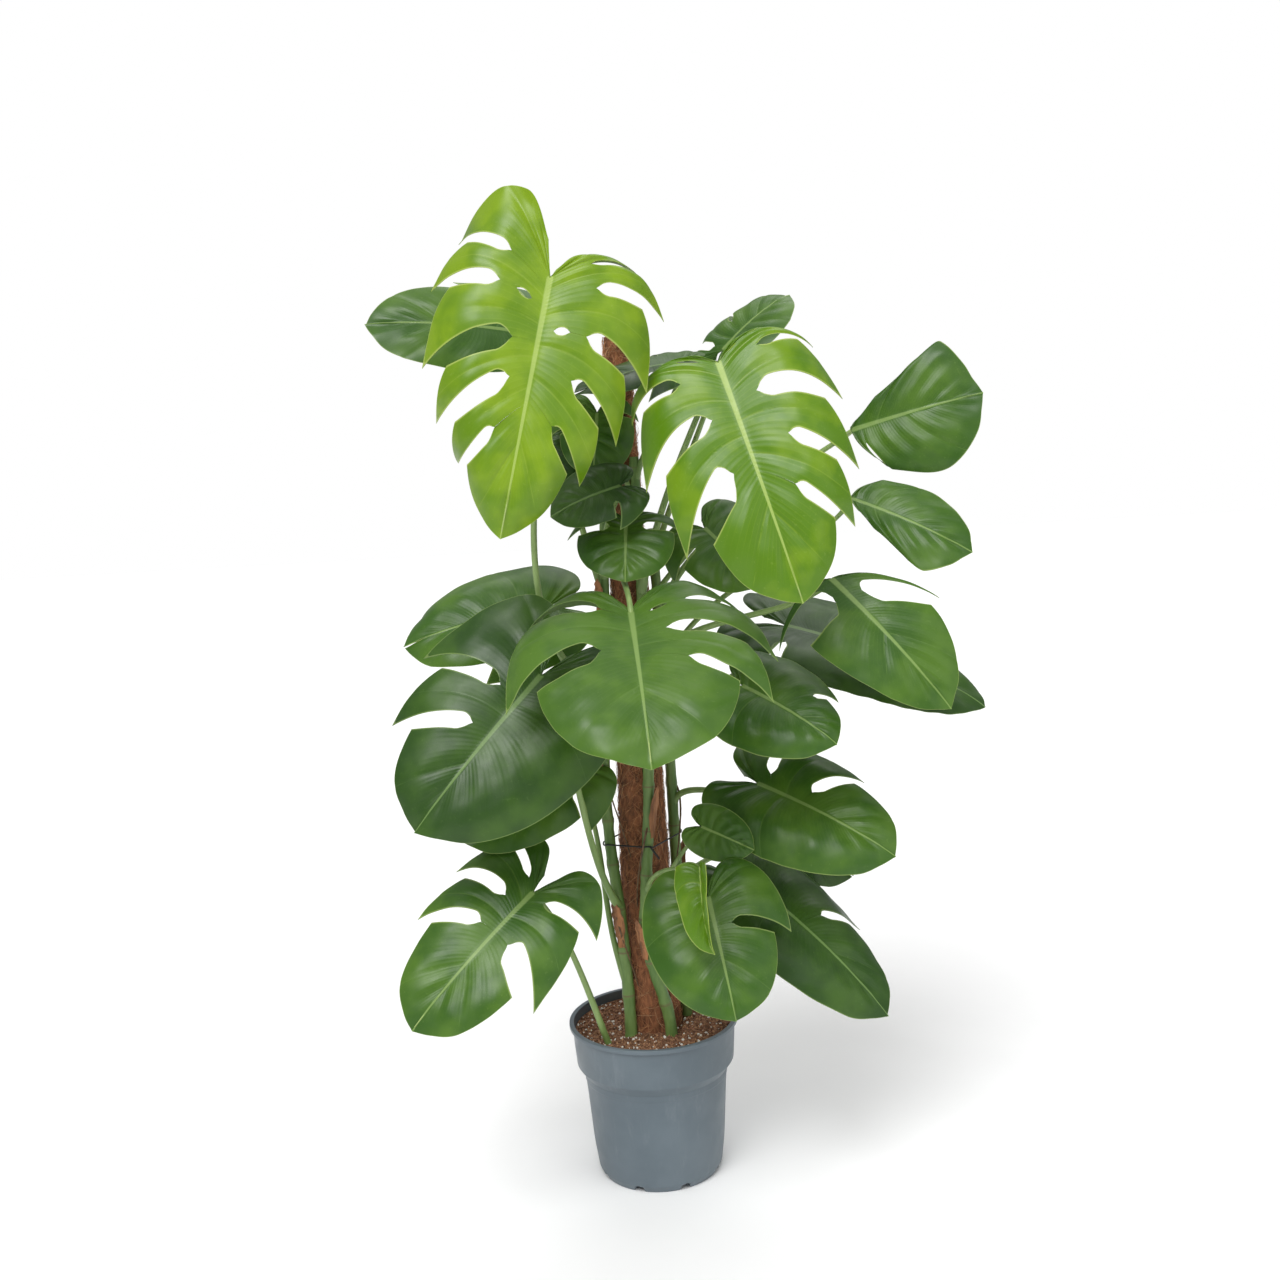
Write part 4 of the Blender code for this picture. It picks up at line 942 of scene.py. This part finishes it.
soilFinish = plainLook("soil", (0.215, 0.105, 0.058), 0.95, 0.55, 240, 0.9, 0.0022)
crumbDark = plainLook("soilCrumb", (0.17, 0.078, 0.04), 0.95, 0.5, 300, 0.6)
crumbPale = plainLook("soilHusk", (0.42, 0.225, 0.12), 0.9, 0.4, 300, 0.6)
perlite = plainLook("perlite", (0.8, 0.76, 0.7), 0.85, 0.12, 900, 0.5)
makeSoil(soilFinish)
scatterLumps("soil_crumbs", soilPlan["crumbs"], (0.001, 0.0026), 0.2, crumbDark, 21)
scatterLumps("soil_husks", soilPlan["crumbs"] // 2, (0.0008, 0.0022), 0.35, crumbPale, 22)
scatterLumps("soil_perlite", soilPlan["grains"], (0.001, 0.0028), 0.5, perlite, 23)
looseFibres("soil_fibres", soilFibrePaths(soilPlan["fibres"], 24), 0.00022, crumbPale, "soil")
print("soil done")

# The pole: matted fibre, a rough turned surface with loose fibres over it, on a wooden stake.
polePlan = {"rings": 560, "sides": 96, "rough": 0.0013, "under": 0.0012, "fibres": 3400, "strays": 520,
            "fibreLow": 0.205}


def makePole(look):
    w = fullTurn(polePlan["sides"])
    height = linspace(poleShape["foot"], poleShape["top"] - 0.002, polePlan["rings"])
    radius = poleRadius(height) - polePlan["under"]
    height = concatenate([[height[0]], height, [poleShape["top"] - 0.0005, poleShape["top"]]])
    radius = concatenate([[0], radius, [radius[-1] - 0.003, 0]])
    points = polar(radius[:, None], w, height[:, None])
    squeezed = points * (1, 1, 0.45)
    rough = 0.5 * lumps(squeezed, 0.016, 5, 14) + 0.5 * lumps(squeezed, 0.0055, 6, 18)
    away = clip(radius / 0.01, 0, 1)[:, None] * polePlan["rough"] * clip(rough, -1.2, 0.9)
    points = points + away[..., None] * polar(1, w, 0)
    return addGrid("coir_wrap", points, look, "coir", "coir_sleeve", sharp=80)


# Fibres that wind round the pole: bearing and height drift with the share along each fibre.
def poleFibrePaths(count, lift, seed):
    rng = np.random.default_rng(seed)
    u = linspace(-0.5, 0.5, 9)[None]
    start = rng.uniform(0.21, poleShape["top"] - 0.004, (count, 1))
    length = rng.uniform(0.012, 0.05, (count, 1))
    slope = rng.normal(0, 0.9, (count, 1))
    bend = rng.normal(0, 1.0, (count, 1))
    height = start + length * u * cos(slope) + length * 0.3 * bend * u**2
    height = clip(height, polePlan["fibreLow"], poleShape["top"] - 0.001)
    radius = poleRadius(height)
    sideways = length * (u * sin(slope) + 0.4 * bend * u**2)
    bearing = rng.uniform(0, 2 * pi, (count, 1)) + sideways / radius
    radius = radius + lift * (0.2 + rng.uniform(0, 1, (count, 1)) * cos(u * pi)) - 0.0006
    return polar(radius, bearing, height)


coirFinish = plainLook("coir", (0.235, 0.092, 0.04), 0.95, 0.55, 150, 0.9, 0.003, (1, 1, 0.4))
fibreRed = plainLook("coirFibre", (0.42, 0.19, 0.085), 0.85, 0.45, 90)
fibrePale = plainLook("coirStray", (0.56, 0.33, 0.18), 0.8, 0.35, 90)
makePole(coirFinish)
looseFibres("coir_fibres", poleFibrePaths(polePlan["fibres"], 0.0016, 31), 0.00034, fibreRed, "coir")
looseFibres("coir_strays", poleFibrePaths(polePlan["strays"], 0.0044, 32), 0.00024, fibrePale, "coir")
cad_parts["pole_stake"].data.materials.clear()
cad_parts["pole_stake"].data.materials.append(
    plainLook("stake", (0.5, 0.36, 0.2), 0.7, 0.2, 30, 0.3, 0.0005, (1, 1, 0.1)))
print("pole done")

# The tie: a wire drawn tight round pole and stems, its ends twisted together in front.
tiePlan = {"height": 0.49, "radius": 0.0011, "points": 160, "sides": 10, "turns": 4, "twist": 0.02,
           "gap": 0.0009, "wave": 0.0012, "endRadius": 0.0009, "endPoints": 60}


def makeTie(look):
    plan = tiePlan
    w = linspace(0, 2 * pi, plan["points"] + 1) - 1.2
    ahead = stack([cos(w), sin(w)], axis=1)
    centres = np.vstack([np.zeros(2), *(stemAt(name, plan["height"])[:2] for name in stemPlans)])
    radii = np.array([poleRadius(plan["height"])] + [stemRadius(plan["height"])] * 3)
    furthest = np.argmax(ahead @ centres.T + radii, axis=1)
    middle = centres[furthest] + (radii[furthest] + plan["radius"] + plan["gap"])[:, None] * ahead
    path = np.column_stack([middle, plan["height"] + plan["wave"] * sin(3 * w)])
    radius = np.full(len(path), plan["radius"])
    addTube("tie_wire_loop", path, radius, plan["sides"], (0, 0, 1), look, "tie_wire", "tie_wire")
    u = linspace(0, 1, plan["endPoints"])
    out = np.append(unit(path[0, :2]), 0)
    radius = np.full(plan["endPoints"], plan["endRadius"])
    for k in (0, pi):
        turn = 2 * pi * plan["turns"] * u + k
        coil = stack([0 * u, plan["wave"] * cos(turn), plan["wave"] * sin(turn)], axis=1)
        ends = path[0] + u[:, None] * (out * 0.4 + (0.5, 0, -0.75)) * plan["twist"] + coil
        addTube(f"tie_wire_end_{1 if k else 2}", ends, radius, 8, (0.3, 1, 0.2), look, "tie_wire")


makeTie(plainLook("tieWire", (0.012, 0.012, 0.013), 0.4, 0.2, 40))
print("tie done")

# Floor, light and camera.
stagePlan = {"floorHalf": 9.0, "floor": (0.93, 0.93, 0.93), "sky": 0.4,
             "suns": (("key", (-0.3, -0.8, 1.1), 2.3, 34), ("fill", (0.85, -0.8, 0.55), 0.45, 50),
                      ("top", (0.15, 0.5, 1.00), 0.9, 50))}
cameraPlan = {"place": (0, -2.1, 1.108), "yaw": 0.2835, "pitch": 9.174, "roll": -3.135, "lens": 43.61,
              "sensor": 36.0}


def makeStage(plan):
    half = plan["floorHalf"]
    mesh = bpy.data.meshes.new("floor")
    corners = [(-half, -half, 0), (half, -half, 0), (half, half, 0), (-half, half, 0)]
    mesh.from_pydata(corners, [], [(0, 1, 2, 3)])
    mesh.materials.append(plainLook("floor", plan["floor"], 0.8, 0.01, 2))
    floor = bpy.data.objects.new("floor", mesh)
    bpy.context.scene.collection.objects.link(floor)
    world = bpy.data.worlds.new("studio")
    bpy.context.scene.world = world
    world.use_nodes = True
    tree = world.node_tree
    backdrop = tree.nodes["Background"]
    backdrop.inputs["Color"].default_value = (1, 1, 1, 1)
    # White to look at, dimmer as a light.
    seen = tree.nodes.new("ShaderNodeLightPath").outputs["Is Camera Ray"]
    tree.links.new(rangeOf(seen, 0, 1, plan["sky"], 1.0), backdrop.inputs["Strength"])
    for name, toward, power, spread in plan["suns"]:
        light = bpy.data.lights.new(name, "SUN")
        light.energy = power
        light.angle = math.radians(spread)
        lamp = bpy.data.objects.new(name, light)
        back = unit(np.array(toward))
        right = unit(np.cross((0, 0, 1), back))
        axes = stack([right, np.cross(back, right), back], axis=1)
        lamp.matrix_world = Matrix(axes.tolist()).to_4x4()
        bpy.context.scene.collection.objects.link(lamp)


def makeCamera(plan):
    yaw, pitch, roll = (math.radians(plan[key]) for key in ("yaw", "pitch", "roll"))
    ahead = np.array([math.sin(yaw) * math.cos(pitch), math.cos(yaw) * math.cos(pitch), -math.sin(pitch)])
    level = np.array([math.cos(yaw), -math.sin(yaw), 0])
    over = np.cross(level, ahead)
    right = math.cos(roll) * level + math.sin(roll) * over
    up = math.cos(roll) * over - math.sin(roll) * level
    data = bpy.data.cameras.new("camera")
    data.sensor_width = plan["sensor"]
    data.lens = plan["lens"]
    camera = bpy.data.objects.new("camera", data)
    axes = Matrix(stack([right, up, -ahead], axis=1).tolist()).to_4x4()
    camera.matrix_world = Matrix.Translation(plan["place"]) @ axes
    bpy.context.scene.collection.objects.link(camera)
    bpy.context.scene.camera = camera


makeStage(stagePlan)
makeCamera(cameraPlan)
bpy.context.scene.view_settings.view_transform = "Standard"
